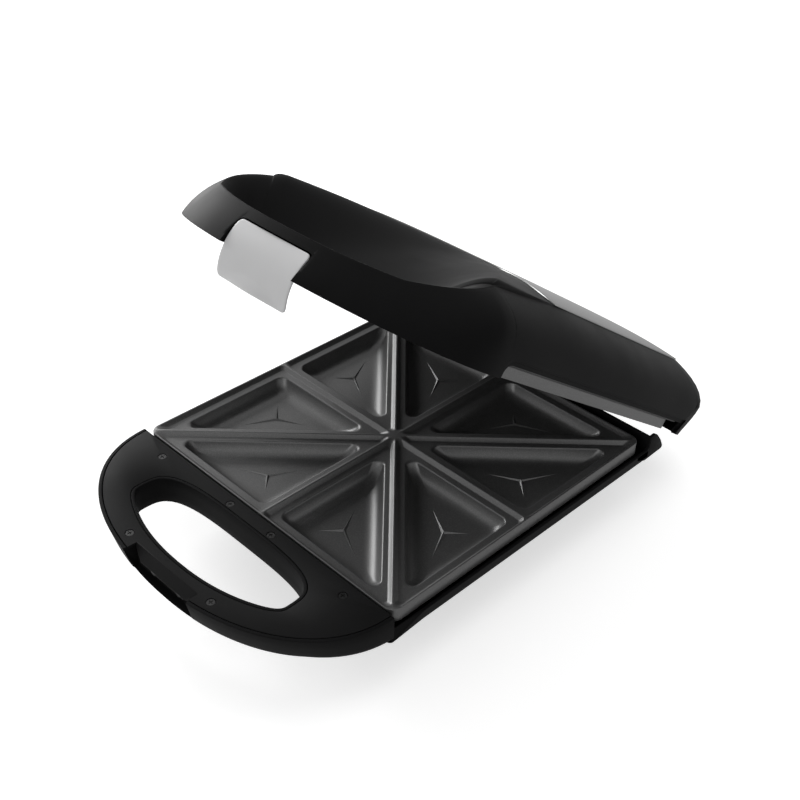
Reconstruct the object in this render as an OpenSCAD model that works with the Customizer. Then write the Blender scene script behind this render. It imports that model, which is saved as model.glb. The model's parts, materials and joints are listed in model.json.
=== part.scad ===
// Sandwich toaster with a tilting lid, two pocketed cooking plates, a spring latch on the lid's
// front edge and a carrying hole through both handles. Millimetres. X runs to the right, Y to the
// back, Z up from the worktop. The lid is drawn shut and then turned open about its hinge pins.

/* [Plates] */
// Side of the square cooking plate, room for four slices of bread
plate_side = 250; // [235:1:265]
// Corner radius of the plate in plan
plate_corner = 8; // [5:0.5:12]
// Thickness of the cast plate
plate_wall = 2.5; // [2:0.1:3.5]
// Flat width on top of the rim
rim_flat = 1.4; // [1:0.1:2.4]
// Drop from the rim to the land around the pockets
land_drop = 3; // [2:0.1:4]
// Half of the flat width on top of a dividing rib
rib_flat = 0.8; // [0.5:0.1:1.5]
// Sideways run of the sloping flanks of rim and ribs
flank_run = 2.8; // [2:0.1:3.4]
// Distance from the plate's edge to a pocket
pocket_edge = 8.8; // [7:0.1:11]
// Distance from a middle rib's centre line to a pocket
pocket_mid = 7.4; // [6.5:0.1:9]
// Distance from a diagonal rib's centre line to a pocket
pocket_diag = 6.9; // [6.2:0.1:8.5]
// Sideways run of a pocket's sloping wall
pocket_run = 6; // [4:0.1:8]
// Depth of a pocket's floor below the rim
pocket_depth = 13.2; // [10:0.1:15]
// Radius of the hub where the ribs meet
hub_radius = 5.5; // [4:0.1:7]
// Height of the three-armed ridge on a pocket's floor
star_height = 1; // [0.5:0.1:1.5]
// Height of the plate's outer skirt
skirt_height = 10; // [8:0.1:12]

/* [Body] */
// Height of the lower plate's rim above the worktop
rim_height = 64; // [62:0.5:70]
// Thickness of the moulded walls
shell_wall = 2.4; // [2:0.1:3]
// Gap between the plate's skirt and the side wall
skirt_gap = 0.8; // [0.5:0.1:1.4]
// Reach of the rounded handle in front of the plate
handle_reach = 86.2; // [78:0.2:95]
// Roundness of the handle's outline in plan
outline_power = 2.2; // [2:0.05:2.6]
// Height of the handle's edge
handle_height = 20.5; // [19:0.5:23]
// Inward lean of the handle's wall over that height
handle_lean = 5.3; // [3:0.1:6]
// Drop from the rim to the top of the side walls
side_drop = 11.5; // [10.5:0.1:13]
// Drop from the rim to the start of the belly
belly_start = 18.6; // [17:0.1:19.5]
// Half width of the belly's flat bottom
belly_half = 84; // [76:1:92]
// Front edge of the belly's bottom
belly_front = 90; // [80:1:95]
// Back edge of the belly's bottom
belly_back = 104; // [98:1:106]
// Height of the rubber feet
foot_height = 4; // [3:0.5:6]

/* [Carrying hole] */
// Half width of the hole through the lower handle
hole_half = 76.3; // [70:0.1:84]
// Distance from the plate's front edge to the back of the hole
hole_start = 14.2; // [13:0.1:18]
// Width of the bar in front of the hole
bar_width = 20.7; // [18:0.1:24]
// Forward bow of the hole's front edge
hole_bow = 12.9; // [0:0.1:14]

/* [Lid] */
// Angle by which the lid stands open
open_angle = 35.2; // [20:0.2:60]
// Gap between the two shut handles
shut_gap = 0.8; // [0.6:0.1:1.4]
// Height of the lid's crest above the mating plane
crown_height = 55; // [53:0.2:58]
// Height of the rim at the front of the lid
front_rim = 25.6; // [24:0.2:28]
// Height of the cut-away along the lid's sides
recess_height = 13; // [11:0.2:15]
// Thickness of the steel top panel
panel_thickness = 0.9; // [0.6:0.1:1.2]

/* [Hinge] */
// Distance of the hinge pins behind the plate's centre
hinge_back = 128.5; // [127:0.1:131]
// Drop from the rim to the hinge pins
hinge_drop = 50; // [48:0.5:52]
// Radius of the hinge pins
pin_radius = 2.5; // [2:0.1:3]
// Running clearance of the hinge pins
pin_clearance = 0.05; // [0.02:0.01:0.08]
// Distance from the middle to the centre of a hinge arm
arm_offset = 52; // [46:0.5:54]
// Width of a hinge arm
arm_width = 12; // [9:0.5:14]

/* [Latch] */
// Half width of the latch
latch_half = 31; // [28:0.5:32]
// Radius of the latch's bowed face
latch_bow = 36.4; // [34:0.2:40]

/* [Hidden] */
$fn = 64;
e = 0.01;
half = plate_side / 2;
out_half = half + skirt_gap + shell_wall;
in_half = half + skirt_gap;
y_plate = -half;
back_gap = 7.4;
wall_back = half + back_gap;
belly_wall = 2.6;
out_back = wall_back + belly_wall;
front_wall = half + 5;
land_z = -land_drop;
floor_z = -pocket_depth;
hole_depth = (handle_reach - bar_width - hole_start) / 2;
hole_y = y_plate - hole_start - hole_depth;
tube_wall = 2.2;
lip_width = 2.6;
cover_gap = 0.6;
cover_thickness = 2;
cover_back = y_plate - 1.5;
lid_hole_half = hole_half - 2.7;
lid_hole_depth = hole_depth - 1.75;
hinge_z = -hinge_drop;
notch_half = latch_half + 2;
lid_notch_half = latch_half + 0.89;
seat_y = y_plate - handle_reach + 12;
crown_half = out_half - 29.2;
lid_back = out_back + 16.5;
bulge = 20;
back_lean = 14;
crown_drop = 5;
crown_rear = lid_back + bulge - back_lean;
panel_gap = 0.15;
frame_z = shut_gap + 7.9;
frame_t = 1.5;
boss_far = 62;
black = [0.1, 0.1, 0.105];
coat = [0.2, 0.2, 0.2];
steel = [0.62, 0.62, 0.63];
pale = [0.86, 0.86, 0.87];
ceramic = [0.82, 0.8, 0.74];

// Frames
function back_reach(z) = z < 27 ? lid_back + bulge * min(1, max(0, (z - 2) / 25))
  : lid_back + bulge - back_lean * pow((z - 27) / (crown_height - crown_drop - 27), 2.2);
function turned(y, z) = hinge_back + (y - hinge_back) * cos(open_angle)
  + (z + hinge_drop) * sin(open_angle);
rear_most = max([for (z = [20:0.5:crown_height - crown_drop]) turned(back_reach(z), z)]);
frame_shift = (handle_reach + half - rear_most) / 2;
module base_frame() translate([0, frame_shift, rim_height]) children();
module lid_frame_of() base_frame() translate([0, hinge_back, hinge_z]) rotate([-open_angle, 0, 0])
  translate([0, -hinge_back, -hinge_z]) children();

// Plan curves
function sp(v, k) = pow(max(0, v), k);
function edge_pt(t, ins) = [(out_half - ins) * sp(sin(t), 2 / outline_power),
  y_plate - (handle_reach - ins) * sp(cos(t), 2 / outline_power)];
function mirror_pts(p) = concat(p,
  [for (i = [len(p) - 1:-1:0]) if (p[i][0] > 0.01) [-p[i][0], p[i][1]]]);
steps = concat([for (a = [0:4:88]) a], [90]);
function edge_x(y, ins) = (out_half - ins) * pow(1 - pow(max(0, y_plate - y) / (handle_reach - ins),
  outline_power), 1 / outline_power);
function handle_poly(ins, yb) = mirror_pts(concat([for (t = steps) if (edge_pt(t, ins)[1] < yb - 0.5)
  edge_pt(t, ins)], [[edge_x(yb, ins), yb]]));
function leaned(ins, z, yb) = mirror_pts(concat([for (t = steps) if (edge_pt(t, ins)[1] < yb - 0.5)
  edge_pt(t, ins + handle_lean * max(0, -z) / handle_height * min(1, (90 - t) / 35))],
  [[edge_x(yb, ins), yb]]));
function hole_pt(t, a, b) = [a * sp(sin(t), 0.588),
  hole_y - b * sign(cos(t)) * sp(abs(cos(t)), 0.588)
  + (cos(t) > 0 ? hole_bow * pow(sp(sin(t), 0.588), 2) * sp(cos(t), 0.588) : 0)];
hole_steps = concat([for (a = [0:6:84]) a], [88, 92], [for (a = [96:6:180]) a]);
function hole_poly(off, a = hole_half, b = hole_depth) = mirror_pts([for (t = hole_steps)
  hole_pt(t, a + off, b + off)]);

// Rounded polygons and simple lofts between two rings of equal length
function unit(v) = v / norm(v);
function corner(a, b, c, r, n) = let (u = unit(a - b), v = unit(c - b), h = acos(u * v) / 2,
  m = b + unit(u + v) * r / sin(h), p = b + u * r / tan(h) - m, q = b + v * r / tan(h) - m)
  [for (k = [0:n]) m + r * unit(p * (1 - k / n) + q * k / n)];
function soft(p, r, n) = [for (i = [0:len(p) - 1]) each corner(p[(i + len(p) - 1) % len(p)],
  p[i], p[(i + 1) % len(p)], r[i], n)];
module stack(rings, zs) {
  n = len(rings[0]);
  m = len(rings);
  polyhedron([for (k = [0:m - 1], p = rings[k]) [p[0], p[1], zs[k]]],
    concat([[for (i = [0:n - 1]) i]], [[for (i = [n - 1:-1:0]) (m - 1) * n + i]],
      [for (k = [0:m - 2], i = [0:n - 1]) let (a = k * n + i, b = k * n + (i + 1) % n)
        each [[a, a + n, b], [b, a + n, b + n]]]));
}
module loft(a, za, b, zb) stack([a, b], [za, zb]);
module prism(p, z0, z1) translate([0, 0, z0]) linear_extrude(z1 - z0) polygon(p);
module box(x0, x1, y0, y1, z0, z1) translate([x0, y0, z0]) cube([x1 - x0, y1 - y0, z1 - z0]);
module rod(r, z0, z1) translate([0, 0, z0]) cylinder(r = r, h = z1 - z0);
module rod_x(r, x0, x1) translate([x0, 0, 0]) rotate([0, 90, 0]) cylinder(r = r, h = x1 - x0);
module rod_y(r, y0, y1) translate([0, y0, 0]) rotate([-90, 0, 0]) cylinder(r = r, h = y1 - y0);
module slab_x(p, x0, x1) translate([x0, 0, 0]) rotate([90, 0, 90]) linear_extrude(x1 - x0) polygon(p);
module slab_y(p, y0, y1) translate([0, y1, 0]) rotate([90, 0, 0]) linear_extrude(y1 - y0) polygon(p);
module both() { children(); mirror([1, 0, 0]) children(); }
module rounded(w, y0, y1, r, z0, z1) {
  box(-w, w, y0 + r, y1 - r, z0, z1);
  box(-w + r, w - r, y0, y1, z0, z1);
  for (x = [-w + r, w - r], y = [y0 + r, y1 - r]) translate([x, y, 0]) rod(r, z0, z1);
}

// Screws: head down or up along Z, the shank ends inside its boss
module screw(r, head, length) {
  difference() {
    union() {
      rod(head, -1.6, 0);
      rod(r, -length, -1.6 + e);
    }
    box(-head * 0.6, head * 0.6, -0.4, 0.4, -0.8, 1);
    box(-0.4, 0.4, -head * 0.6, head * 0.6, -0.8, 1);
  }
}

// Cooking plates, drawn with the rim at zero and the pockets going down
function tri(m, d, w, r) = soft([[m + d * sqrt(2), m], [half - w, m],
  [half - w, half - w - d * sqrt(2)]], [r[0], r[1], r[2]], 4);
module eight() for (k = [0:3]) rotate([0, 0, 90 * k]) {
  children();
  mirror([1, -1, 0]) children();
}
module land_cut() loft(tri(rib_flat + flank_run, rib_flat + flank_run, rim_flat + flank_run + 1,
    [1.5, 2.5, 2]), land_z, tri(rib_flat, rib_flat, rim_flat, [2.6, 4, 3]), 0.02);
module pocket_in() loft(tri(pocket_mid + pocket_run, pocket_diag + pocket_run,
    pocket_edge + pocket_run, [4, 4, 3.5]), floor_z,
  tri(pocket_mid, pocket_diag, pocket_edge, [5.5, 7, 5]), land_z + 0.02);
module pocket_out() loft(tri(pocket_mid + pocket_run - plate_wall, pocket_diag + pocket_run
    - plate_wall, pocket_edge + pocket_run - plate_wall, [4, 4, 3.5]), floor_z - plate_wall,
  tri(pocket_mid - plate_wall, pocket_diag - plate_wall, pocket_edge - plate_wall, [5.5, 7, 5]),
  land_z - plate_wall + 0.3);
module star() {
  c = [half * 0.69, half * 0.315];
  t = [c + [-21.8, -11.7], c + [12.6, -12], c + [12.8, 25.6]];
  prism([for (i = [0:2]) each [t[i], c + 1.4 * unit((t[i] + t[(i + 1) % 3]) / 2 - c)]],
    floor_z - 0.5, floor_z + star_height);
}
module plate_ring(w, y1, t, z0, z1) difference() {
  rounded(w, -w, y1, plate_corner, z0, z1);
  rounded(w - t, -w + t, y1 - t, plate_corner - t, z0 - 1, z1 + 1);
}
module plate_bosses(z) for (k = [0:3]) rotate([0, 0, 90 * k]) translate([boss_far, 0, 0])
  difference() {
    rod(4.4, z, land_z - plate_wall + 0.2);
    rod(1.6, z - 1, z + 12);
  }
module plate_body(skirt, tail, z_boss) {
  difference() {
    union() {
      difference() {
        rounded(half, -half, half + tail, plate_corner, land_z - plate_wall, 0);
        eight() land_cut();
        if (tail > 0) box(-half - 1, half + 1, half, half + tail + 1, land_z, 1);
      }
      rod(hub_radius, land_z - 0.5, 0);
      eight() pocket_out();
    }
    eight() pocket_in();
  }
  eight() star();
  plate_ring(half, half + tail, 2.4, -skirt, land_z - plate_wall + 0.3);
  plate_bosses(z_boss);
}

// Heating tubes, reflector pans and clips, drawn for the lower side
tube_r = 3.3;
heat_z = floor_z - plate_wall - tube_r - 3;
pan_floor = heat_z - tube_r - 4.5;
module heating_tube(w, y0, y1) {
  r = 18;
  x_end = 14;
  for (s = [-1, 1]) {
    translate([s * w, 0, heat_z]) rod_y(tube_r, y0 + r - e, y1 - r + e);
    translate([s * x_end, y1, heat_z]) rod(tube_r, -14, 0);
    translate([s * x_end, y1, heat_z]) sphere(tube_r);
    translate([s * x_end, y1, heat_z]) rod(1.2, -18, -14 + e);
  }
  translate([0, y0, heat_z]) rod_x(tube_r, -w + r - e, w - r + e);
  translate([0, y1, heat_z]) rod_x(tube_r, x_end, w - r + e);
  translate([0, y1, heat_z]) rod_x(tube_r, -w + r - e, -x_end);
  for (c = [[w - r, y1 - r, 0], [-w + r, y1 - r, 90], [-w + r, y0 + r, 180], [w - r, y0 + r, 270]])
    translate([c[0], c[1], heat_z]) rotate([0, 0, c[2]])
      rotate_extrude(angle = 90) translate([r, 0]) circle(tube_r);
}
module pan(w, y0, y1, top, z_screws, y_lead) difference() {
  intersection() {
    slab_y([[-w, top], [-w + 8, pan_floor], [w - 8, pan_floor], [w, top]], y0 - 1, y1 + 1);
    slab_x([[y0, top], [y0 + 8, pan_floor], [y1 - 8, pan_floor], [y1, top]], -w - 1, w + 1);
  }
  intersection() {
    slab_y([[-w + 1, top + 1], [-w + 9, pan_floor + 1], [w - 9, pan_floor + 1], [w - 1, top + 1]],
      y0 - 1, y1 + 1);
    slab_x([[y0 + 1, top + 1], [y0 + 9, pan_floor + 1], [y1 - 9, pan_floor + 1],
      [y1 - 1, top + 1]], -w - 1, w + 1);
  }
  for (k = [0:3]) rotate([0, 0, 90 * k]) translate([boss_far, 0, 0])
    rod(1.7, pan_floor - 1, pan_floor + 2);
  for (s = [-1, 1]) translate([14 * s, y_lead, 0]) rod(4.2, pan_floor - 1, pan_floor + 2);
}
module clip(x, y, a) translate([x, y, 0]) rotate([0, 0, a]) difference() {
  box(-5, 5, -2, 2, pan_floor + 1, heat_z + 1.5);
  translate([0, 0, heat_z]) rod_y(tube_r, -3, 3);
  box(-tube_r, tube_r, -3, 3, heat_z, heat_z + 9);
}
module clips(w, y0) {
  for (y = [-30, 40]) both() clip(w, y, 0);
  for (x = [-40, 40]) clip(x, y0, 90);
}
module plate_screws() for (k = [0:3]) rotate([0, 0, 90 * k]) translate([boss_far, 0, pan_floor])
  rotate([180, 0, 0]) translate([0, 0, 1.6]) screw(1.5, 3.4, 11);

// Lower body
screw_spots = [[93, y_plate - 11], [21, y_plate - 8], [42.5, seat_y + 1.8]];
foot_spots = [[belly_half - 11, -belly_front + 11], [belly_half - 11, belly_back - 14]];
module belly_form(inset, top, base) intersection() {
  w = out_half - inset;
  b = belly_half - inset * 1.35;
  k = inset * 1.35;
  slab_y([[-w, top], [-w, -belly_start], [-b, base], [b, base], [w, -belly_start], [w, top]],
    -half - 60, half + 60);
  slab_x([[-front_wall + inset, top], [-front_wall + inset, -belly_start], [-belly_front + k, base],
    [belly_back - k, base], [out_back - inset, -belly_start], [out_back - inset, top]],
    -half - 40, half + 40);
}
belly_end = -rim_height + foot_height + 2;
module ear() {
  q = out_back;
  both() slab_x([[half + 1, -side_drop], [half + 5, -side_drop + 0.3], [q - 2.7, -9], [q - 2, -5],
    [q - 1.6, 0], [q + 3.6, 0], [q + 7, -2.5], [q + 12.5, -10], [q + 15.6, -16], [q + 15, -18.2],
    [q + 12, -belly_start], [q - 6, -belly_start - 1], [half + 1, -side_drop - 3]],
    in_half, out_half);
}
module tray() difference() {
  stack([leaned(1.2, -handle_height, y_plate + 3), leaned(0, -handle_height + 1.2, y_plate + 3),
    leaned(0, 0, y_plate + 3)], [-handle_height, -handle_height + 1.2, 0]);
  difference() {
    stack([leaned(lip_width, -handle_height + 2, cover_back + 1), leaned(lip_width, 0, cover_back + 1),
      leaned(lip_width, 1, cover_back + 1)], [-handle_height + 2, 0, 1]);
    prism(hole_poly(tube_wall), -handle_height, 0);
    both() for (p = screw_spots) translate([p[0], p[1], 0])
      rod(3.6, -handle_height, -cover_thickness);
  }
  prism(hole_poly(0), -handle_height - 1, 1);
  both() for (p = screw_spots) translate([p[0], p[1], 0]) rod(1.25, -14, 1);
  box(-in_half, in_half, cover_back - 0.01, y_plate + 5, -handle_height + 2, 1);
  box(-in_half + 8, in_half - 8, cover_back - 4, y_plate + 5, -belly_start + 1, -8);
}
module lugs() both() for (x = [arm_offset - arm_width / 2 - 6, arm_offset + arm_width / 2 + 0.6]) {
  slab_x([[belly_back - 2, hinge_z - 7], [hinge_back, hinge_z - 7], [hinge_back, hinge_z + 7],
    [belly_back + 13, hinge_z + 12], [belly_back - 2, hinge_z - 2]], x, x + 5.4);
  translate([0, hinge_back, hinge_z]) rod_x(7, x, x + 5.4);
}
module base_shell() color(black) base_frame() difference() {
  union() {
    difference() {
      union() {
        tray();
        difference() {
          belly_form(0, -side_drop, belly_end);
          box(-out_half - 1, out_half + 1, -front_wall - 1, cover_back - 2.5, -belly_start, 0);
        }
        lugs();
      }
      difference() {
        belly_form(belly_wall - 0.2, 1, belly_end - 0.01);
        box(-out_half, out_half, -front_wall - 1, -front_wall + belly_wall, -70, -belly_start - 2);
      }
      box(-in_half, in_half, cover_back, wall_back, -belly_start, 1);
    }
    box(-in_half - e, in_half + e, cover_back - 2.5, cover_back, -handle_height, -cover_thickness);
    box(-out_half, out_half, wall_back, out_back, -belly_start - 0.5, -0.6);
    ear();
    difference() {
      box(-in_half - 0.2, in_half + 0.2, cover_back - 0.2, wall_back + 0.2, -skirt_height - 2.5,
        -skirt_height);
      box(-half + 3.6, half - 3.6, -half + 3.6, half - 3.6, -skirt_height - 3, 1);
    }
    for (s = [-1, 1]) intersection() {
      belly_form(1, -belly_start, belly_end);
      union() {
        box(s > 0 ? 88 : -out_half, s > 0 ? out_half : -88, -12, 12, pan_floor - 4, pan_floor);
        for (p = foot_spots) {
          translate([s * p[0], p[1], 0]) rod(4.8, belly_end, belly_end + 11);
          box(min(s * p[0], s * 130), max(s * p[0], s * 130), p[1] - 1.2, p[1] + 1.2,
            belly_end, belly_end + 9);
        }
      }
    }
    box(-notch_half, notch_half, seat_y, seat_y + 2.4, -handle_height + 1, -cover_thickness - 2.5);
  }
  box(-notch_half, notch_half, y_plate - handle_reach - 2, seat_y, -handle_height + 1.6, 1);
  both() translate([0, hinge_back, hinge_z])
    rod_x(pin_radius + 0.02, arm_offset - arm_width, arm_offset + arm_width + 1);
  for (s = [-1, 1], p = foot_spots) translate([s * p[0], p[1], 0]) rod(1.5, belly_end - 1, belly_end + 9);
  translate([0, 0, hinge_z + 9]) rod_y(6.5, belly_back - 10, out_back + 4);
  for (x = [-13, 13]) translate([x, 0, -12]) rod_y(1.25, seat_y - 1, seat_y + 1.5);
}
module cover_plate(z0, z1, deep, a, b) difference() {
  prism(handle_poly(deep, cover_back), z0, z1);
  prism(hole_poly(tube_wall + 0.4, a, b), z0 - 1, z1 + 1);
  box(-notch_half, notch_half, y_plate - handle_reach, seat_y + 0.2, z0 - 1, z1 + 1);
}
module base_handle_cover() color(black) base_frame() {
  difference() {
    cover_plate(-cover_thickness, 0, lip_width + cover_gap, hole_half, hole_depth);
    both() for (p = screw_spots) translate([p[0], p[1], 0]) {
      rod(1.7, -cover_thickness - 1, 1);
      rod(3.1, -1.3, 1);
    }
  }
  w = notch_half - 0.1;
  intersection() {
    slab_x([[seat_y + 1.4, 0], [seat_y, 0], [seat_y - 4.2, -8.2], [seat_y - 4.2, -8.6],
      [seat_y - 0.05, -8.6], [seat_y - 0.05, -4.5], [seat_y + 1.4, -4.5]], -w, w);
    prism([[-w, seat_y + 2], [-w, seat_y], [-w + 10, seat_y - 4.3], [w - 10, seat_y - 4.3],
      [w, seat_y], [w, seat_y + 2]], -10, 1);
  }
}
module base_cover_screws() color(steel) base_frame() both() for (p = screw_spots)
  translate([p[0], p[1], 0.3]) difference() {
    union() {
      rod(2.7, -1.6, -0.6);
      rod(1.25, -11, -1.6 + e);
    }
    box(-1.7, 1.7, -0.35, 0.35, -1.2, 1);
    box(-0.35, 0.35, -1.7, 1.7, -1.2, 1);
  }
module base_bottom_cover() color(black) base_frame() difference() {
  union() {
    rounded(belly_half - 0.6, -belly_front + 0.6, belly_back - 0.6, 6, belly_end - 2, belly_end);
    for (x = [-19, 19]) translate([x, -20, 0]) rod(3.4, belly_end - e, belly_end + 6);
  }
  for (s = [-1, 1], p = foot_spots) translate([s * p[0], p[1], 0])
    rod(1.8, belly_end - 3, belly_end + 1);
  for (x = [-48:12:48]) box(x - 1.5, x + 1.5, 20, 62, belly_end - 3, belly_end + 1);
  for (x = [-19, 19]) translate([x, -20, 0]) rod(1.2, belly_end - 1, belly_end + 7);
}
module foot(x, y) color([0.07, 0.07, 0.07]) base_frame() translate([x, y, 0]) difference() {
  rod(8, -rim_height, belly_end - 2);
  rod(4, -rim_height - 1, -rim_height + 2);
  rod(1.7, -rim_height, belly_end);
}
module foot_front_left() foot(-foot_spots[0][0], foot_spots[0][1]);
module foot_front_right() foot(foot_spots[0][0], foot_spots[0][1]);
module foot_back_left() foot(-foot_spots[1][0], foot_spots[1][1]);
module foot_back_right() foot(foot_spots[1][0], foot_spots[1][1]);
module foot_screws() color(steel) base_frame() for (s = [-1, 1], p = foot_spots)
  translate([s * p[0], p[1], -rim_height + 0.4]) rotate([180, 0, 0]) screw(1.5, 3.2, 12);
module lower_plate() color(coat) base_frame() plate_body(skirt_height, 0, pan_floor + 1);
module lower_plate_screws() color(steel) base_frame() plate_screws();
module lower_element() color([0.35, 0.33, 0.32]) base_frame() heating_tube(84, -84, 86);
module lower_element_clips() color(steel) base_frame() clips(84, -84);
module lower_reflector() color(steel) base_frame() pan(111, -104, 106, -skirt_height - 8.6, 0, 86);
module thermostat() color(ceramic) base_frame() translate([0, 34, 0]) {
  rod(12, pan_floor - 9, pan_floor);
  for (s = [-1, 1]) box(s * 9 - 3, s * 9 + 3, -0.4, 0.4, tab_end, pan_floor - 9 + e);
}
module thermal_fuse() color(pale) base_frame() {
  translate([0, 0, pan_floor - 3]) translate([0, -34, 0]) rod_x(3, -15, 15);
  translate([0, 0, pan_floor - 3]) translate([0, -34, 0]) rod_x(0.8, -26, 26);
}
module terminal_block() color(ceramic) base_frame() difference() {
  box(-26, 26, -27, -13, belly_end + 6, belly_end + 14);
  for (x = [-19, 19]) translate([x, -20, 0]) {
    rod(1.2, belly_end, belly_end + 15);
  }
  for (x = [-9, 0, 9]) translate([x, -20, 0]) rod(2.2, belly_end + 10, belly_end + 15);
}
tab_end = pan_floor - 13;
module wire(p) {
  for (i = [0:len(p) - 2]) {
    d = p[i + 1] - p[i];
    translate(p[i]) rotate([0, acos(d[2] / norm(d)), atan2(d[1], d[0])]) translate([0, 0, -0.5])
      cylinder(r = 1.2, h = norm(d) + 1, $fn = 8);
  }
}
module base_wiring() color([0.55, 0.12, 0.1]) base_frame() {
  low = belly_end + 5;
  wire([[-14, 86, heat_z - 18.5], [-14, 86, low], [-30, 20, low], [-30, -20, low + 5],
    [-26.5, -20, low + 5]]);
  wire([[14, 86, heat_z - 18.5], [14, 86, low + 2], [9, 34, low + 2], [9, 34, tab_end - 0.5]]);
  wire([[-9, 34, tab_end - 0.5], [-9, 34, low + 3], [-9, -12.5, low + 3]]);
}
module cord_inlet() color([0.07, 0.07, 0.07]) base_frame() translate([0, 0, hinge_z + 9]) difference() {
  union() {
    rod_y(6.5, belly_back + 4, out_back + 2);
    rod_y(8.5, out_back - 9.2, out_back - 6.6);
  }
  rod_y(3.6, belly_back, out_back + 6);
}
module latch_catch() color(steel) base_frame() difference() {
  union() {
    box(-9.5, 9.5, seat_y - 3.4, seat_y, -10.1, -8.65);
    box(-17, 17, seat_y - 1.4, seat_y, -15.2, -8.65);
  }
  for (x = [-13, 13]) translate([x, 0, -12]) rod_y(1.5, seat_y - 3, seat_y + 1);
}
module catch_screws() color(steel) base_frame() for (x = [-13, 13])
  translate([x, seat_y - 1.4, -12]) {
    rod_y(1.25, -e, 2.8);
    rod_y(2.4, -0.8, 0);
  }
module hinge_pin(s) color(steel) base_frame() translate([0, hinge_back, hinge_z])
  rod_x(pin_radius, s > 0 ? arm_offset - arm_width : -arm_offset - arm_width,
    s > 0 ? arm_offset + arm_width : -arm_offset + arm_width);
module hinge_pin_left() hinge_pin(-1);
module hinge_pin_right() hinge_pin(1);

// Lid shell: one skin between an outer and an inner set of rings around the carrying hole.
// A station is [zone, place, bottom height]: zone 0 front curve, 1 side, 2 rear corner, 3 rear.
notch_top = front_rim - 6.4;
notch_turn = asin(pow(lid_notch_half / out_half, outline_power / 2));
recess_front = y_plate + 3;
recess_back = out_back + 4;
function wall_y(v) = (v - y_plate) / (lid_back - 9 - y_plate);
stations = concat(
  [for (t = [0, 4, 8]) [0, t, notch_top]],
  [[0, notch_turn - 0.1, notch_top], [0, notch_turn + 0.1, shut_gap]],
  [for (t = [17:5:87]) [0, t, shut_gap]], [[0, 90, shut_gap]],
  [[1, wall_y(recess_front - 0.1), shut_gap], [1, wall_y(recess_front), recess_height - 9]],
  [for (a = [30, 60, 90])
    [1, wall_y(recess_front + 9 * (1 - cos(a))), recess_height - 9 + 9 * sin(a)]],
  [for (y = [-90:30:120]) [1, wall_y(y), recess_height]],
  [[1, wall_y(recess_back - 1), recess_height], [1, wall_y(recess_back), shut_gap]],
  [for (a = [15:15:90]) [2, a, shut_gap]],
  [for (s = [0.25, 0.5, 0.75]) [3, s, shut_gap]]);
function along(s) = s[0] == 0 ? 0 : s[0] == 1 ? 0.62 * s[1] : s[0] == 2 ? 0.62 + 0.08 * s[1] / 90
  : 0.7 + 0.3 * s[1];
function rim_inset(t) = t < 43 ? 13 : 13 + 0.345 * (t - 43);
function rim_z(t) = t < 43 ? front_rim + 3.2 * pow(t / 43, 2) : front_rim + 3.2 + 0.372 * (t - 43);
side_z = front_rim + 3.2 + 0.372 * 47;
function bend(t) = 1.3 + 3.7 * pow(min(1, t / 80), 5);
function turn_of(t, ins) = let (k = min(1, max(0, (t - notch_turn - 0.5) / 15)),
  x = sp(sin(t), 2 / outline_power) * (out_half - ins * k))
  asin(pow(min(1, x / (out_half - ins)), outline_power / 2));
function plan(s, ins, z) = s[0] == 0 ? edge_pt(turn_of(s[1], ins), ins)
  : let (w = out_half - ins, y = back_reach(z), r = 9 + 6 * min(1, z / side_z))
    s[0] == 1 ? [w, y_plate + (y - r - y_plate) * s[1]]
    : s[0] == 2 ? [w - r + r * cos(s[1]), y - r + r * sin(s[1])]
    : [(w - r) * (1 - s[1]), y];
function shoulder_inset(s) = s[0] == 0 ? rim_inset(s[1]) : out_half - crown_half;
function shoulder_z(s) = s[0] == 0 ? rim_z(s[1]) : side_z + (crown_height - crown_drop - side_z)
  * min(1, along(s) / 0.2);
function crown(x, y) = crown_height - crown_drop * pow(pow(sp(abs(x) / crown_half, 3.7), 4)
  + pow(sp((y - crown_rear + 60) / 60, 3), 4), 0.25);
function swing_of(s) = s[0] == 0 ? s[1] * (1 + 0.28 * pow(s[1] / 90, 2))
  : 115.2 + 64.8 * sp(along(s), 0.8);
function scoop_pt(s) = s[0] == 0 ? plan(s, rim_inset(s[1]) + 1, 0)
  : [(crown_half - 1.2) * sp(cos(90 * along(s)), 1.6), y_plate + 111 * sp(sin(90 * along(s)), 1.6)];
function scoop_z(s) = s[0] == 0 ? rim_z(s[1]) : let (p = scoop_pt(s))
  side_z + (crown(p[0], p[1]) - side_z) * min(1, along(s) / 0.12);
function hole_at(s, off) = hole_pt(swing_of(s), lid_hole_half + off, lid_hole_depth + off);
function rise(s, u) = 1 - pow(1 - u, s[0] == 0 ? 1 + 0.6 * pow(s[1] / 90, 2) : 1.6);
function mix(a, b, k) = a * (1 - k) + b * k;
wall_f = [0.3, 0.5, 0.68, 0.84, 0.94];
wall_g = [0.04, 0.1, 0.25, 0.55, 0.8];
crown_f = [0.25, 0.5, 0.75];
scoop_f = [0.86, 0.66, 0.46, 0.28, 0.12];
function lean(s, z) = shoulder_inset(s) * pow(z / shoulder_z(s), s[0] == 0 ? bend(s[1]) : 4.5);
function in_notch(s) = s[0] == 0 && s[1] < notch_turn;
function wall_pt(s, k, inner) = let (z = s[2] + (shoulder_z(s) - s[2]) * wall_f[k],
    g = inner ? wall_g[k] : 0, d = inner ? 2.6 - 1.4 * g : 0, q = plan(s, lean(s, z) + d, z))
  [q[0], q[1] - (inner && s[0] > 0 ? d * back_share(s) : 0), z - 3.2 * g];
function back_share(s) = s[0] == 1 ? s[1] : s[0] > 1 ? 1 : 0;
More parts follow.
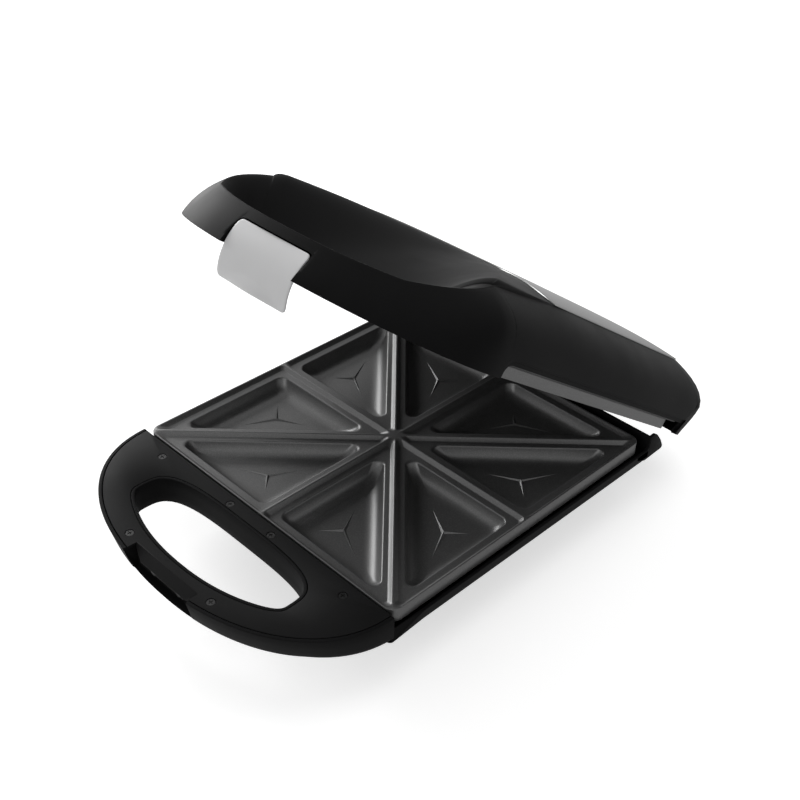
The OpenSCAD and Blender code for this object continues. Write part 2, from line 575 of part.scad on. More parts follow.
function crown_ring(s, k, drop) = let (a = shoulder_pt(s, 0), b = scoop_pt(s),
    p = mix([a[0], a[1]], b, k), z0 = mix(shoulder_z(s), scoop_z(s), k))
  [p[0], p[1], (s[0] == 0 ? z0 : mix(z0, crown(p[0], p[1]), min(1, along(s) / 0.12))) - drop];
function shoulder_pt(s, in) = let (k = in > 0 && s[0] == 0 ? (in_notch(s) ? 0.2 : 1.4) : 0,
    p = plan(s, shoulder_inset(s) - k, shoulder_z(s))) [p[0] - (in > 0 && s[0] > 0 ? 0.6 : 0), p[1], shoulder_z(s) - in];
function scoop_ring(s, u) = let (p = mix(hole_at(s, 0), scoop_pt(s), u))
  [p[0], p[1], mix(7, scoop_z(s), rise(s, u))];
function scoop_in(s, u) = let (h = hole_at(s, tube_wall), c = shoulder_pt(s, 4.2),
    b = s[0] == 0 ? [c[0], c[1]] : mix(scoop_pt(s), [c[0], c[1]], 0.06),
    p = mix(h, b, u), z1 = s[0] == 0 ? c[2] : scoop_z(s) - 2.9)
  [p[0], p[1], mix(4.2, z1, rise(s, u))];
ledge = 1.6;
function lower_in(s, far) = let (k = in_notch(s) ? lean(s, s[2]) + 0.5 * far
    : s[0] == 0 && s[1] < 86 ? far : 0,
    p = plan(s, 2.6 + k, shut_gap)) [p[0], p[1] - (s[0] > 0 ? 2.6 * back_share(s) : 0)];
function ring_set(s) = let (b = plan(s, lean(s, s[2]), s[2]), i0 = lower_in(s, 0),
    i1 = lower_in(s, ledge), h0 = hole_at(s, 0), h1 = hole_at(s, tube_wall),
    zl = max(s[2] + 1, shut_gap + cover_thickness))
  concat([[i0[0], i0[1], s[2]], [b[0], b[1], s[2]]],
    [for (k = [0:4]) wall_pt(s, k, false)], [shoulder_pt(s, 0)],
    [for (k = crown_f) crown_ring(s, k, 0)], [concat(scoop_pt(s), [scoop_z(s)])],
    [for (u = scoop_f) scoop_ring(s, u)],
    [[h0[0], h0[1], 7], [h0[0], h0[1], shut_gap], [h1[0], h1[1], shut_gap], [h1[0], h1[1], 4.2]],
    [for (k = [4:-1:0]) scoop_in(s, scoop_f[k])],
    s[0] == 0 ? [for (k = [1, 0.99, 0.98, 0.97]) let (a = scoop_in(s, 1), c = shoulder_pt(s, 4.2))
      mix(c, scoop_in(s, 0.9), (k - 0.96) * 5)]
      : concat([scoop_in(s, 1)], [for (k = [2:-1:0]) crown_ring(s, crown_f[k], 2.9)]),
    [shoulder_pt(s, 4.2)], [for (k = [4:-1:0]) let (w = wall_pt(s, k, true),
      own = k > 1 || s[0] > 0 || s[1] > 86, n = plan(s, 2.6 + max(ledge, lean(s, w[2])), w[2]))
      in_notch(s) ? mix(shoulder_pt(s, 4.2), [i1[0], i1[1], zl], (5 - k) / 6)
        : own ? w : [n[0], n[1], w[2]]],
    [[i1[0], i1[1], zl], [i0[0], i0[1], zl]]);
module lid_skin() {
  r = [for (s = stations) ring_set(s)];
  mid = ring_set([3, 1, shut_gap]);
  n = len(mid);
  flip = [for (i = [len(r) - 1:-1:1]) [for (p = r[i]) [-p[0], p[1], p[2]]]];
  all = concat(r, [mid], flip);
  m = len(all);
  polyhedron([for (a = all) each a], [for (i = [0:m - 1], j = [0:n - 1])
    let (a = i * n + j, b = ((i + 1) % m) * n + j, c = ((i + 1) % m) * n + (j + 1) % n,
      d = i * n + (j + 1) % n) each [[a, b, c], [a, c, d]]]);
}
module lid_shell() color(black) lid_frame_of() lid_skin();

// Steel top panel over the crown, with four pressed studs
function panel_front(x) = y_plate + 73 + 64 * pow(cos(90 * min(1, abs(x) / crown_half)), 2);
panel_half = crown_half - 0.4;
function panel_back(x) = let (q = abs(x) - panel_half + 15) crown_rear - 15.6
  + (q > 0 ? sqrt(max(0, 225 - q * q)) : 15);
panel_x = [for (a = [-90:7.5:90]) panel_half * (0.35 * a / 90 + 0.65 * sin(a))];
module top_panel() color(steel) lid_frame_of() {
  n = len(panel_x);
  m = 15;
  g = [for (t = [0, 1], j = [0:m - 1], x = panel_x)
    let (y = mix(panel_front(x), panel_back(x), j / (m - 1)))
      [x, y, crown(x, y) + panel_gap + t * panel_thickness]];
  s = n * m;
  polyhedron(g, concat(
    [for (j = [0:m - 2], i = [0:n - 2]) let (a = j * n + i) each
      [[a, a + 1, a + n + 1], [a, a + n + 1, a + n], [s + a, s + a + n + 1, s + a + 1],
        [s + a, s + a + n, s + a + n + 1]]],
    [for (i = [0:n - 2]) let (b = s - n + i) each [[i, s + i, s + i + 1], [i, s + i + 1, i + 1],
      [b, s + b + 1, s + b], [b, b + 1, s + b + 1]]],
    [for (j = [0:m - 2]) let (a = j * n, b = a + n - 1) each [[a, s + a + n, s + a],
      [a, a + n, s + a + n], [b, s + b, s + b + n], [b, s + b + n, b + n]]]));
  both() for (y = [20, 110]) translate([60, y, 0]) rod(2, crown(60, y) - 2, crown(60, y) + 0.6);
}

// Lid parts
module lid_handle_cover() color(black) lid_frame_of() difference() {
  cover_plate(shut_gap, shut_gap + cover_thickness, lip_width + cover_gap, lid_hole_half,
    lid_hole_depth);
  both() for (p = screw_spots) translate([p[0], p[1], 0]) rod(1.7, -1, shut_gap + 4);
}
module lid_cover_screws() color(steel) lid_frame_of() both() for (p = screw_spots)
  translate([p[0], p[1], shut_gap + 0.2]) rotate([180, 0, 0]) difference() {
    union() {
      rod(1.7, -1.8, 0);
      rod(1.3, -9, -1.7);
    }
    box(-1.2, 1.2, -0.3, 0.3, -0.8, 1);
  }
module lid_frame() color([0.16, 0.16, 0.16]) lid_frame_of() {
  top = frame_z + frame_t;
  difference() {
    box(-half + 0.6, half - 0.6, -half + 0.6, out_back + 1.5, frame_z, top);
    box(-half + 7, half - 7, -half + 7, half - 7, frame_z - 1, top + 1);
    both() for (x = [arm_offset - 3, arm_offset + 3]) translate([x, half + 5, 0])
      rod(1.2, frame_z - 1, top + 1);
  }
  both() for (y = [-50, 100]) translate([half - 5.4, y, 0]) rod(2.4, top - e, side_z - 14.8);
}
module upper_flip() lid_frame_of() translate([0, 0, shut_gap + 0.2]) mirror([0, 0, 1]) children();
module upper_plate() color(coat) upper_flip() plate_body(frame_z - shut_gap - 0.2, 7.6, pan_floor + 1);
module upper_plate_screws() color(steel) upper_flip() plate_screws();
module upper_element() color([0.35, 0.33, 0.32]) upper_flip() heating_tube(82, -72, 84);
module upper_element_clips() color(steel) upper_flip() clips(82, -72);
module upper_reflector() color(steel) upper_flip() pan(100, -86, 104, -skirt_height - 9, 0, 84);
module hinge_arm(s) color([0.13, 0.13, 0.13]) lid_frame_of() difference() {
  x0 = s > 0 ? arm_offset - arm_width / 2 : -arm_offset - arm_width / 2;
  x1 = x0 + arm_width;
  q = out_back;
  union() {
    slab_x([[hinge_back, hinge_z - 7.4], [hinge_back + 12, hinge_z - 2], [q + 14, -30],
      [q + 14, -8], [q + 12.4, 3], [q + 21, 22], [q + 12, 26], [q + 2.2, frame_z + frame_t + 3],
      [half + 1, frame_z + frame_t + 3], [half + 1, frame_z + frame_t], [q + 2.2, frame_z + frame_t],
      [q + 2.2, -22], [q - 1, hinge_z + 10], [hinge_back, hinge_z + 7.4]], x0, x1);
    translate([0, hinge_back, hinge_z]) rod_x(7.5, x0, x1);
  }
  translate([0, hinge_back, hinge_z]) rod_x(pin_radius + pin_clearance, x0 - 1, x1 + 1);
  for (x = [-3, 3]) translate([(x0 + x1) / 2 + x, half + 5, 0]) rod(1.2, frame_z, frame_z + 8);
}
module hinge_arm_left() hinge_arm(-1);
module hinge_arm_right() hinge_arm(1);
module arm_screws() color(steel) lid_frame_of() both() for (x = [-3, 3])
  translate([arm_offset + x, half + 5, frame_z + frame_t + 3]) {
    rod(2.2, 0, 1.4);
    rod(1.2, -4.4, e);
  }
latch_z = 14.5;
latch_y = y_plate - handle_reach + 11.8;
bow_y = y_plate - handle_reach + 41.3;
latch_pin_r = 1;
barrel_r = 1.9;
module latch_bracket() color(black) lid_frame_of() difference() {
  union() {
    box(-latch_half + 2.4, latch_half - 2.4, latch_y, latch_y + 4.4, 3, 6);
    both() slab_x([[latch_y, 3], [latch_y + 4.4, 3], [latch_y + 4.4, 8], [latch_y + barrel_r, latch_z],
      [latch_y - barrel_r, latch_z]], latch_half - 6.4, latch_half - 2.4);
    translate([0, latch_y, latch_z]) both() rod_x(barrel_r, latch_half - 6.4, latch_half - 2.4);
  }
  translate([0, latch_y, latch_z]) rod_x(latch_pin_r + 0.02, -latch_half, latch_half);
}
module latch_pin() color(steel) lid_frame_of() translate([0, latch_y, latch_z])
  rod_x(latch_pin_r, -latch_half + 2.6, latch_half - 2.6);
module latch_spring() color(steel) lid_frame_of() difference() {
  union() {
    translate([0, latch_y, latch_z]) rod_x(barrel_r - 0.1, -3.6, 3.6);
    box(-0.6, 0.6, latch_y + 0.7, latch_y + 1.8, 6, latch_z);
  }
  translate([0, latch_y, latch_z]) rod_x(latch_pin_r + 0.05, -4, 4);
}
module latch() color(pale) lid_frame_of() {
  difference() {
    intersection() {
      translate([0, bow_y, 0]) rod_x(latch_bow, -latch_half, latch_half);
      box(-latch_half, latch_half, bow_y - latch_bow - 1, latch_y + 1, -18.5, 18.4);
    }
    translate([0, bow_y, 0]) rod_x(latch_bow - 1.4, -latch_half - 1, latch_half + 1);
  }
  for (s = [-1, 1]) difference() {
    translate([0, latch_y, latch_z]) {
      rod_x(barrel_r, s > 0 ? 4.2 : -latch_half + 7, s > 0 ? latch_half - 7 : -4.2);
      box(s > 0 ? 4.2 : -latch_half + 7, s > 0 ? latch_half - 7 : -4.2, -4, 0, -1.3, 1.3);
    }
    translate([0, latch_y, latch_z]) rod_x(latch_pin_r + 0.05, -latch_half, latch_half);
    translate([0, bow_y, 0]) difference() {
      rod_x(latch_bow + 9, -latch_half, latch_half);
      rod_x(latch_bow - 0.3, -latch_half - 1, latch_half + 1);
    }
  }
  slab_x([[seat_y - 5, -10.9], [seat_y - 1.8, -10.7], [seat_y - 1.8, -11.4], [seat_y - 3.4, -14],
    [seat_y - 4, -14]], -8.5, 8.5);
}

base_shell();
base_handle_cover();
base_cover_screws();
base_bottom_cover();
foot_front_left();
foot_front_right();
foot_back_left();
foot_back_right();
foot_screws();
lower_plate();
lower_plate_screws();
lower_element();
lower_element_clips();
lower_reflector();
thermostat();
thermal_fuse();
terminal_block();
base_wiring();
cord_inlet();
latch_catch();
catch_screws();
hinge_pin_left();
hinge_pin_right();
lid_shell();
top_panel();
lid_handle_cover();
lid_cover_screws();
lid_frame();
upper_plate();
upper_plate_screws();
upper_element();
upper_element_clips();
upper_reflector();
hinge_arm_left();
hinge_arm_right();
arm_screws();
latch_bracket();
latch_pin();
latch_spring();
latch();
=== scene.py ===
"""Looks of the sandwich toaster: smooth skins, finishes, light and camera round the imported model.

Every mesh is worked out in millimetres from the middle of the lower plate, at the height of its
rim, with the lid shut. A place matrix then carries it into the frame, in metres.
"""

import json
import logging
import math
from dataclasses import dataclass, field
from enum import Enum
from typing import Callable, Iterable, Sequence

import bmesh
import bpy
from mathutils import Matrix, Vector


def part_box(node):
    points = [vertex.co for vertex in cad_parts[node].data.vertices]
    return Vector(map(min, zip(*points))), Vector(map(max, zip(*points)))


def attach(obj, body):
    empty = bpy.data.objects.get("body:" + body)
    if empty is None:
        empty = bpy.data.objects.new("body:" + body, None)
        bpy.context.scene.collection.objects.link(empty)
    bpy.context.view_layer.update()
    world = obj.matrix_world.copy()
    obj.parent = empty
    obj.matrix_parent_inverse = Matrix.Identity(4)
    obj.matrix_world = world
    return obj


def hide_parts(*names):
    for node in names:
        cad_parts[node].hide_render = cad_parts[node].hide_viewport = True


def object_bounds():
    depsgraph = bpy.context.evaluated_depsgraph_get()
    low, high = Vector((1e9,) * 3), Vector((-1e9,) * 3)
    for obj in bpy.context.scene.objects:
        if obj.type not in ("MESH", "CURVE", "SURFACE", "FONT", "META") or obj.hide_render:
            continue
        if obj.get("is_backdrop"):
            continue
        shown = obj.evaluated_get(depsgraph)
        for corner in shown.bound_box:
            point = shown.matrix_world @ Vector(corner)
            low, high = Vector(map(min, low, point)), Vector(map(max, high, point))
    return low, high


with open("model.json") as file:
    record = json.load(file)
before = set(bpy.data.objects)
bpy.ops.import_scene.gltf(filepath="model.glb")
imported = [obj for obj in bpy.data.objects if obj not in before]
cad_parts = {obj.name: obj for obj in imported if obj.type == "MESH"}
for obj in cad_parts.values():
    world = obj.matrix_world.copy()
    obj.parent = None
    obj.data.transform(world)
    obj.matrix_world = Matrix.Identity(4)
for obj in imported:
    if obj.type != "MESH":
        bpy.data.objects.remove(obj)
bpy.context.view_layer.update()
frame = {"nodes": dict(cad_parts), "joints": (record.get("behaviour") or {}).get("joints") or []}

LOG = logging.getLogger("toaster")
MM = 0.001
Pair = tuple[float, float]
Point = tuple[float, float, float]
Colour = tuple[float, float, float]


def power(value: float, exponent: float) -> float:
    """Returns value to the power exponent, with a negative value taken as zero."""
    return max(0.0, value) ** exponent


def mix(a: float, b: float, share: float) -> float:
    """Returns the value that lies share of the way from a to b."""
    return a * (1 - share) + b * share


def blend_pair(a: Pair, b: Pair, share: float) -> Pair:
    """Returns the plan point that lies share of the way from a to b."""
    return mix(a[0], b[0], share), mix(a[1], b[1], share)


def spread(low: float, high: float, count: int) -> list[float]:
    """Returns count values spaced evenly from low to high, both included."""
    return [low + (high - low) * i / (count - 1) for i in range(count)]


def rounded_corner(before: Pair, at: Pair, after: Pair, radius: float, count: int) -> list[Pair]:
    """Rounds one corner of a polygon.

    Args:
        before: The polygon's point before the corner.
        at: The corner.
        after: The polygon's point after the corner.
        radius: The rounding radius.
        count: How many steps the arc takes.

    Returns:
        The points of the arc, count + 1 of them.
    """
    u = (Vector(before) - Vector(at)).normalized()
    v = (Vector(after) - Vector(at)).normalized()
    half = math.acos(max(-1.0, min(1.0, u.dot(v)))) / 2
    middle = Vector(at) + (u + v).normalized() * radius / math.sin(half)
    start = Vector(at) + u * radius / math.tan(half) - middle
    end = Vector(at) + v * radius / math.tan(half) - middle
    points = []
    for k in range(count + 1):
        ray = start.lerp(end, k / count)
        ray = ray.normalized() * radius if radius > 1e-6 else ray
        points.append((middle.x + ray.x, middle.y + ray.y))
    return points


def circle(x: float, y: float, z: float, radius: float, count: int) -> list[Point]:
    """Returns count points on a level circle."""
    turns = spread(0, math.tau, count + 1)[:-1]
    return [(x + radius * math.cos(a), y + radius * math.sin(a), z) for a in turns]


def mirrored(rings: Sequence[Sequence[Point]]) -> list[list[Point]]:
    """Returns rings of the right half followed by their mirror images, the two shared ones once."""
    left = [[(-x, y, z) for x, y, z in ring] for ring in reversed(rings[1:-1])]
    return [list(ring) for ring in rings] + left


class Skin:
    """A mesh in the making, in millimetres."""

    def __init__(self) -> None:
        """Starts with no points and no faces."""
        self.points: list[Point] = []
        self.faces: list[tuple[int, ...]] = []

    def add(self, points: Iterable[Point]) -> list[int]:
        """Adds points and returns their numbers."""
        first = len(self.points)
        self.points.extend(points)
        return list(range(first, len(self.points)))

    def bridge(self, a: Sequence[int], b: Sequence[int], closed: bool = True) -> None:
        """Joins two rows of points of one length with faces of four corners.

        Args:
            a: Numbers of the first row's points.
            b: Numbers of the second row's points.
            closed: Whether the rows run all the way round.
        """
        count = len(a)
        for i in range(count if closed else count - 1):
            j = (i + 1) % count
            self.faces.append((a[i], a[j], b[j], b[i]))

    def grid(
        self, rows: Sequence[Sequence[Point]], closed: bool = True, looped: bool = False
    ) -> list[list[int]]:
        """Joins rows of points one after the other.

        Args:
            rows: The rows, all of one length.
            closed: Whether each row runs all the way round.
            looped: Whether the last row joins the first.

        Returns:
            The numbers of the points, row by row.
        """
        numbers = [self.add(row) for row in rows]
        for a, b in zip(numbers, numbers[1:]):
            self.bridge(a, b, closed)
        if looped:
            self.bridge(numbers[-1], numbers[0], closed)
        return numbers

    def cap(self, ring: Sequence[int]) -> None:
        """Closes a ring with one face."""
        self.faces.append(tuple(ring))

    def tube(self, rows: Sequence[Sequence[Point]]) -> None:
        """Joins closed rows and caps the first and the last."""
        numbers = self.grid(rows)
        self.cap(list(reversed(numbers[0])))
        self.cap(numbers[-1])

    def sheet(self, layers: Sequence[Sequence[Sequence[Point]]]) -> None:
        """Joins grids of one size, one over the other, into a closed sheet."""
        rims = [
            grid[0] + [row[-1] for row in grid[1:]] + grid[-1][-2::-1] + [row[0] for row in grid[-2:0:-1]]
            for grid in layers
        ]
        self.grid(rims)
        self.grid(layers[0], closed=False)
        self.grid(layers[-1], closed=False)

    def build(self, name: str, place: Matrix, sharp: float = 35.0) -> bpy.types.Object:
        """Makes the object.

        Args:
            name: The piece's name.
            place: Carries millimetres from the plate's centre into the frame.
            sharp: Edges that turn more than this many degrees stay sharp.

        Returns:
            The new object, at the origin, with its place in its mesh.
        """
        mesh = bpy.data.meshes.new(name)
        mesh.from_pydata([place @ Vector(p) for p in self.points], [], self.faces)
        tidy = bmesh.new()
        tidy.from_mesh(mesh)
        bmesh.ops.remove_doubles(tidy, verts=tidy.verts, dist=0.004 * MM)
        bmesh.ops.dissolve_degenerate(tidy, edges=tidy.edges, dist=0.002 * MM)
        bmesh.ops.recalc_face_normals(tidy, faces=tidy.faces)
        tidy.to_mesh(mesh)
        tidy.free()
        shade(mesh, sharp)
        return linked(name, mesh)


def linked(name: str, data: bpy.types.ID) -> bpy.types.Object:
    """Makes an object of some data, links it to the scene and returns it."""
    thing = bpy.data.objects.new(name, data)
    bpy.context.scene.collection.objects.link(thing)
    return thing


def shade(mesh: bpy.types.Mesh, sharp: float) -> None:
    """Shades a mesh smooth, with edges that turn more than sharp degrees kept sharp."""
    for face in mesh.polygons:
        face.use_smooth = True
    mesh.set_sharp_from_angle(angle=math.radians(sharp))


def applied(thing: bpy.types.Object) -> None:
    """Applies an object's modifiers to its mesh."""
    graph = bpy.context.evaluated_depsgraph_get()
    mesh = bpy.data.meshes.new_from_object(thing.evaluated_get(graph))
    thing.modifiers.clear()
    old = thing.data
    thing.data = mesh
    bpy.data.meshes.remove(old)


def cut(thing: bpy.types.Object, cutter: bpy.types.Object, sharp: float) -> None:
    """Cuts one object out of another and removes the cutter.

    Args:
        thing: The object that loses material.
        cutter: The shape that is taken out.
        sharp: Edges that turn more than this many degrees are sharp afterwards.
    """
    step = thing.modifiers.new("cut", "BOOLEAN")
    step.object, step.operation, step.solver = cutter, "DIFFERENCE", "EXACT"
    applied(thing)
    shade(thing.data, sharp)
    bpy.data.objects.remove(cutter)


def softened(thing: bpy.types.Object, edge: float) -> bpy.types.Object:
    """Rounds an object's edges to a radius in millimetres and returns it."""
    step = thing.modifiers.new("edge", "BEVEL")
    step.width, step.segments, step.limit_method = edge * MM, 3, "ANGLE"
    step.angle_limit = math.radians(20)
    applied(thing)
    shade(thing.data, 40.0)
    return thing


def soft_slab(
    name: str, profile: Sequence[Pair], low: float, high: float, edge: float, place: Matrix
) -> bpy.types.Object:
    """Makes a plate of even thickness with rounded edges.

    Args:
        name: The piece's name.
        profile: Its outline in y and z.
        low: Where it starts along x.
        high: Where it ends along x.
        edge: The rounding radius of its edges.
        place: Carries millimetres into the frame.

    Returns:
        The new object.
    """
    skin = Skin()
    skin.tube([[(low, y, z) for y, z in profile], [(high, y, z) for y, z in profile]])
    return softened(skin.build(name, place), edge)


# Finishes


class Texture(Enum):
    """What kind of small relief a finish has."""

    GRAIN = "fine grain"
    SPECKLE = "speckled coat"
    BRUSHED = "brushed lines"


def make_group(name: str, inputs: dict[str, float], outputs: Sequence[str]) -> bpy.types.ShaderNodeTree:
    """Makes an empty shader node group with named number sockets.

    Args:
        name: The group's name.
        inputs: Names of the inputs with their usual values.
        outputs: Names of the outputs.

    Returns:
        The group.
    """
    group = bpy.data.node_groups.new(name, "ShaderNodeTree")
    for title, value in inputs.items():
        socket = group.interface.new_socket(title, in_out="INPUT", socket_type="NodeSocketFloat")
        socket.default_value = value
    for title in outputs:
        group.interface.new_socket(title, in_out="OUTPUT", socket_type="NodeSocketFloat")
    return group


def texture_group(kind: Texture) -> bpy.types.ShaderNodeTree:
    """Makes, once, the node group of one kind of relief.

    Args:
        kind: Which relief.

    Returns:
        The group: it takes Scale and Stretch and gives Height and Tone, both from 0 to 1.
    """
    found = bpy.data.node_groups.get(kind.value)
    if found:
        return found
    group = make_group(kind.value, {"Scale": 1500.0, "Stretch": 1.0}, ["Height", "Tone"])
    nodes, links = group.nodes, group.links
    enter, leave = nodes.new("NodeGroupInput"), nodes.new("NodeGroupOutput")
    place = nodes.new("ShaderNodeTexCoord")
    stretch = nodes.new("ShaderNodeCombineXYZ")
    ratio = nodes.new("ShaderNodeMath")
    ratio.operation = "DIVIDE"
    ratio.inputs[0].default_value = 1.0
    links.new(enter.outputs["Stretch"], ratio.inputs[1])
    links.new(ratio.outputs[0], stretch.inputs[0])
    stretch.inputs[1].default_value = stretch.inputs[2].default_value = 1.0
    scaled = nodes.new("ShaderNodeVectorMath")
    scaled.operation = "MULTIPLY"
    links.new(place.outputs["Object"], scaled.inputs[0])
    links.new(stretch.outputs[0], scaled.inputs[1])
    fine, broad = nodes.new("ShaderNodeTexNoise"), nodes.new("ShaderNodeTexNoise")
    links.new(scaled.outputs[0], fine.inputs["Vector"])
    links.new(enter.outputs["Scale"], fine.inputs["Scale"])
    fine.inputs["Detail"].default_value = 3.0
    links.new(place.outputs["Object"], broad.inputs["Vector"])
    broad.inputs["Scale"].default_value = 26.0
    broad.inputs["Detail"].default_value = 4.0
    tone = nodes.new("ShaderNodeMapRange")
    links.new(tone.outputs[0], leave.inputs["Tone"])
    if kind is Texture.SPECKLE:
        cells = nodes.new("ShaderNodeTexVoronoi")
        links.new(scaled.outputs[0], cells.inputs["Vector"])
        links.new(enter.outputs["Scale"], cells.inputs["Scale"])
        links.new(cells.outputs["Distance"], tone.inputs["Value"])
        tone.inputs["From Min"].default_value = 0.05
        tone.inputs["From Max"].default_value = 0.9
        links.new(fine.outputs["Fac"], leave.inputs["Height"])
        return group
    links.new(fine.outputs["Fac"], leave.inputs["Height"])
    source = fine if kind is Texture.BRUSHED else broad
    links.new(source.outputs["Fac"], tone.inputs["Value"])
    tone.inputs["From Min"].default_value = 0.32
    tone.inputs["From Max"].default_value = 0.68
    return group


@dataclass(frozen=True)
class Finish:
    """One surface finish, made of a shader and a node group of small relief."""

    name: str
    dark: Colour
    light: Colour
    rough_low: float
    rough_high: float
    texture: Texture = Texture.GRAIN
    scale: float = 1500.0
    stretch: float = 1.0
    relief: float = 0.15
    metallic: float = 0.0
    specular: float = 0.5
    grazing: float = 1.0

    def material(self) -> bpy.types.Material:
        """Returns this finish's material, made on first use."""
        found = bpy.data.materials.get(self.name)
        if found:
            return found
        made = bpy.data.materials.new(self.name)
        made.use_nodes = True
        nodes, links = made.node_tree.nodes, made.node_tree.links
        shader = nodes["Principled BSDF"]
        shader.inputs["Metallic"].default_value = self.metallic
        shader.inputs["Specular IOR Level"].default_value = self.specular
        shader.inputs["Specular Tint"].default_value = (self.grazing, self.grazing, self.grazing, 1.0)
        relief = nodes.new("ShaderNodeGroup")
        relief.node_tree = texture_group(self.texture)
        relief.inputs["Scale"].default_value = self.scale
        relief.inputs["Stretch"].default_value = self.stretch
        colour = nodes.new("ShaderNodeMix")
        colour.data_type = "RGBA"
        colour.inputs["A"].default_value = (*self.dark, 1.0)
        colour.inputs["B"].default_value = (*self.light, 1.0)
        links.new(relief.outputs["Tone"], colour.inputs["Factor"])
        links.new(colour.outputs["Result"], shader.inputs["Base Color"])
        rough = nodes.new("ShaderNodeMapRange")
        rough.inputs["To Min"].default_value = self.rough_low
        rough.inputs["To Max"].default_value = self.rough_high
        links.new(relief.outputs["Tone"], rough.inputs["Value"])
        links.new(rough.outputs[0], shader.inputs["Roughness"])
        bump = nodes.new("ShaderNodeBump")
        bump.inputs["Strength"].default_value = self.relief
        bump.inputs["Distance"].default_value = 0.05 * MM
        links.new(relief.outputs["Height"], bump.inputs["Height"])
        links.new(bump.outputs[0], shader.inputs["Normal"])
        return made

    def dress(self, thing: bpy.types.Object) -> bpy.types.Object:
        """Gives an object this finish alone and returns it."""
        thing.data.materials.clear()
        thing.data.materials.append(self.material())
        return thing


HOUSING = Finish("satin black plastic", (0.005, 0.005, 0.0051), (0.0075, 0.0075, 0.0077), 0.5, 0.58,
                 relief=0.25, specular=0.03)
COVER = Finish("fine textured plastic", (0.006, 0.006, 0.0061), (0.009, 0.009, 0.0092), 0.55, 0.63,
               relief=0.35, specular=0.05)
COAT = Finish("non-stick coat", (0.08, 0.08, 0.08), (0.12, 0.12, 0.12), 0.34, 0.42,
              Texture.SPECKLE, 1400.0, relief=0.3, metallic=0.6, grazing=0.55)
PANEL = Finish("brushed panel", (0.16, 0.16, 0.16), (0.3, 0.3, 0.3), 0.3, 0.42,
               Texture.BRUSHED, 3000.0, 40.0, relief=0.25, metallic=1.0, grazing=0.5)
SILVER = Finish("silver latch plastic", (0.66, 0.66, 0.665), (0.7, 0.7, 0.705), 0.3, 0.36, relief=0.1)
SHEET = Finish("plain sheet", (0.5, 0.5, 0.5), (0.6, 0.6, 0.6), 0.3, 0.45,
               Texture.BRUSHED, 900.0, 12.0, metallic=1.0)
DARK_STEEL = Finish("dark screw steel", (0.012, 0.012, 0.012), (0.03, 0.03, 0.03), 0.35, 0.5, metallic=0.8)
SCREW = Finish("bright screw steel", (0.5, 0.5, 0.5), (0.62, 0.62, 0.62), 0.28, 0.4, metallic=1.0)
PAINT = Finish("black paint", (0.01, 0.01, 0.01), (0.016, 0.016, 0.016), 0.4, 0.5, relief=0.3, specular=0.3)
RUBBER = Finish("black rubber", (0.01, 0.01, 0.01), (0.015, 0.015, 0.015), 0.75, 0.85,
                relief=0.4, specular=0.25)
SHEATH = Finish("heater sheath", (0.08, 0.07, 0.06), (0.16, 0.15, 0.14), 0.5, 0.65, metallic=0.6)
CERAMIC = Finish("plain ceramic", (0.72, 0.7, 0.64), (0.8, 0.78, 0.72), 0.55, 0.65)
SLEEVE = Finish("glass sleeve", (0.4, 0.07, 0.05), (0.55, 0.12, 0.09), 0.7, 0.8, Texture.BRUSHED, 2500.0, 2.0)


# Shared plan


@dataclass(frozen=True)
class Place:
    """Where the two halves stand in the frame."""

    shift: float
    rim: float
    hinge_y: float
    hinge_z: float
    opening: float

    @classmethod
    def from_frame(cls) -> "Place":
        """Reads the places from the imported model."""
        low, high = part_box("lower_plate")
        hinge = next(j for j in frame["joints"] if j["name"] == "lid_hinge")
        shift = (low.y + high.y) / 2 / MM
        return cls(shift, high.z / MM, hinge["pos_m"][1] / MM - shift,
                   (hinge["pos_m"][2] - high.z) / MM, -hinge["range_deg"][0])

    def base(self) -> Matrix:
        """Returns the matrix of the lower half."""
        return Matrix.Scale(MM, 4) @ Matrix.Translation((0, self.shift, self.rim))

    def lid(self) -> Matrix:
        """Returns the matrix of the opened lid."""
        pin = Matrix.Translation((0, self.hinge_y, self.hinge_z))
        turn = Matrix.Rotation(math.radians(-self.opening), 4, "X")
        return self.base() @ pin @ turn @ pin.inverted()

    def upper(self, gap: float) -> Matrix:
        """Returns the matrix of things that hang upside down in the lid, above a mating gap."""
        return self.lid() @ Matrix.Translation((0, 0, gap)) @ Matrix.Scale(-1, 4, (0, 0, 1))


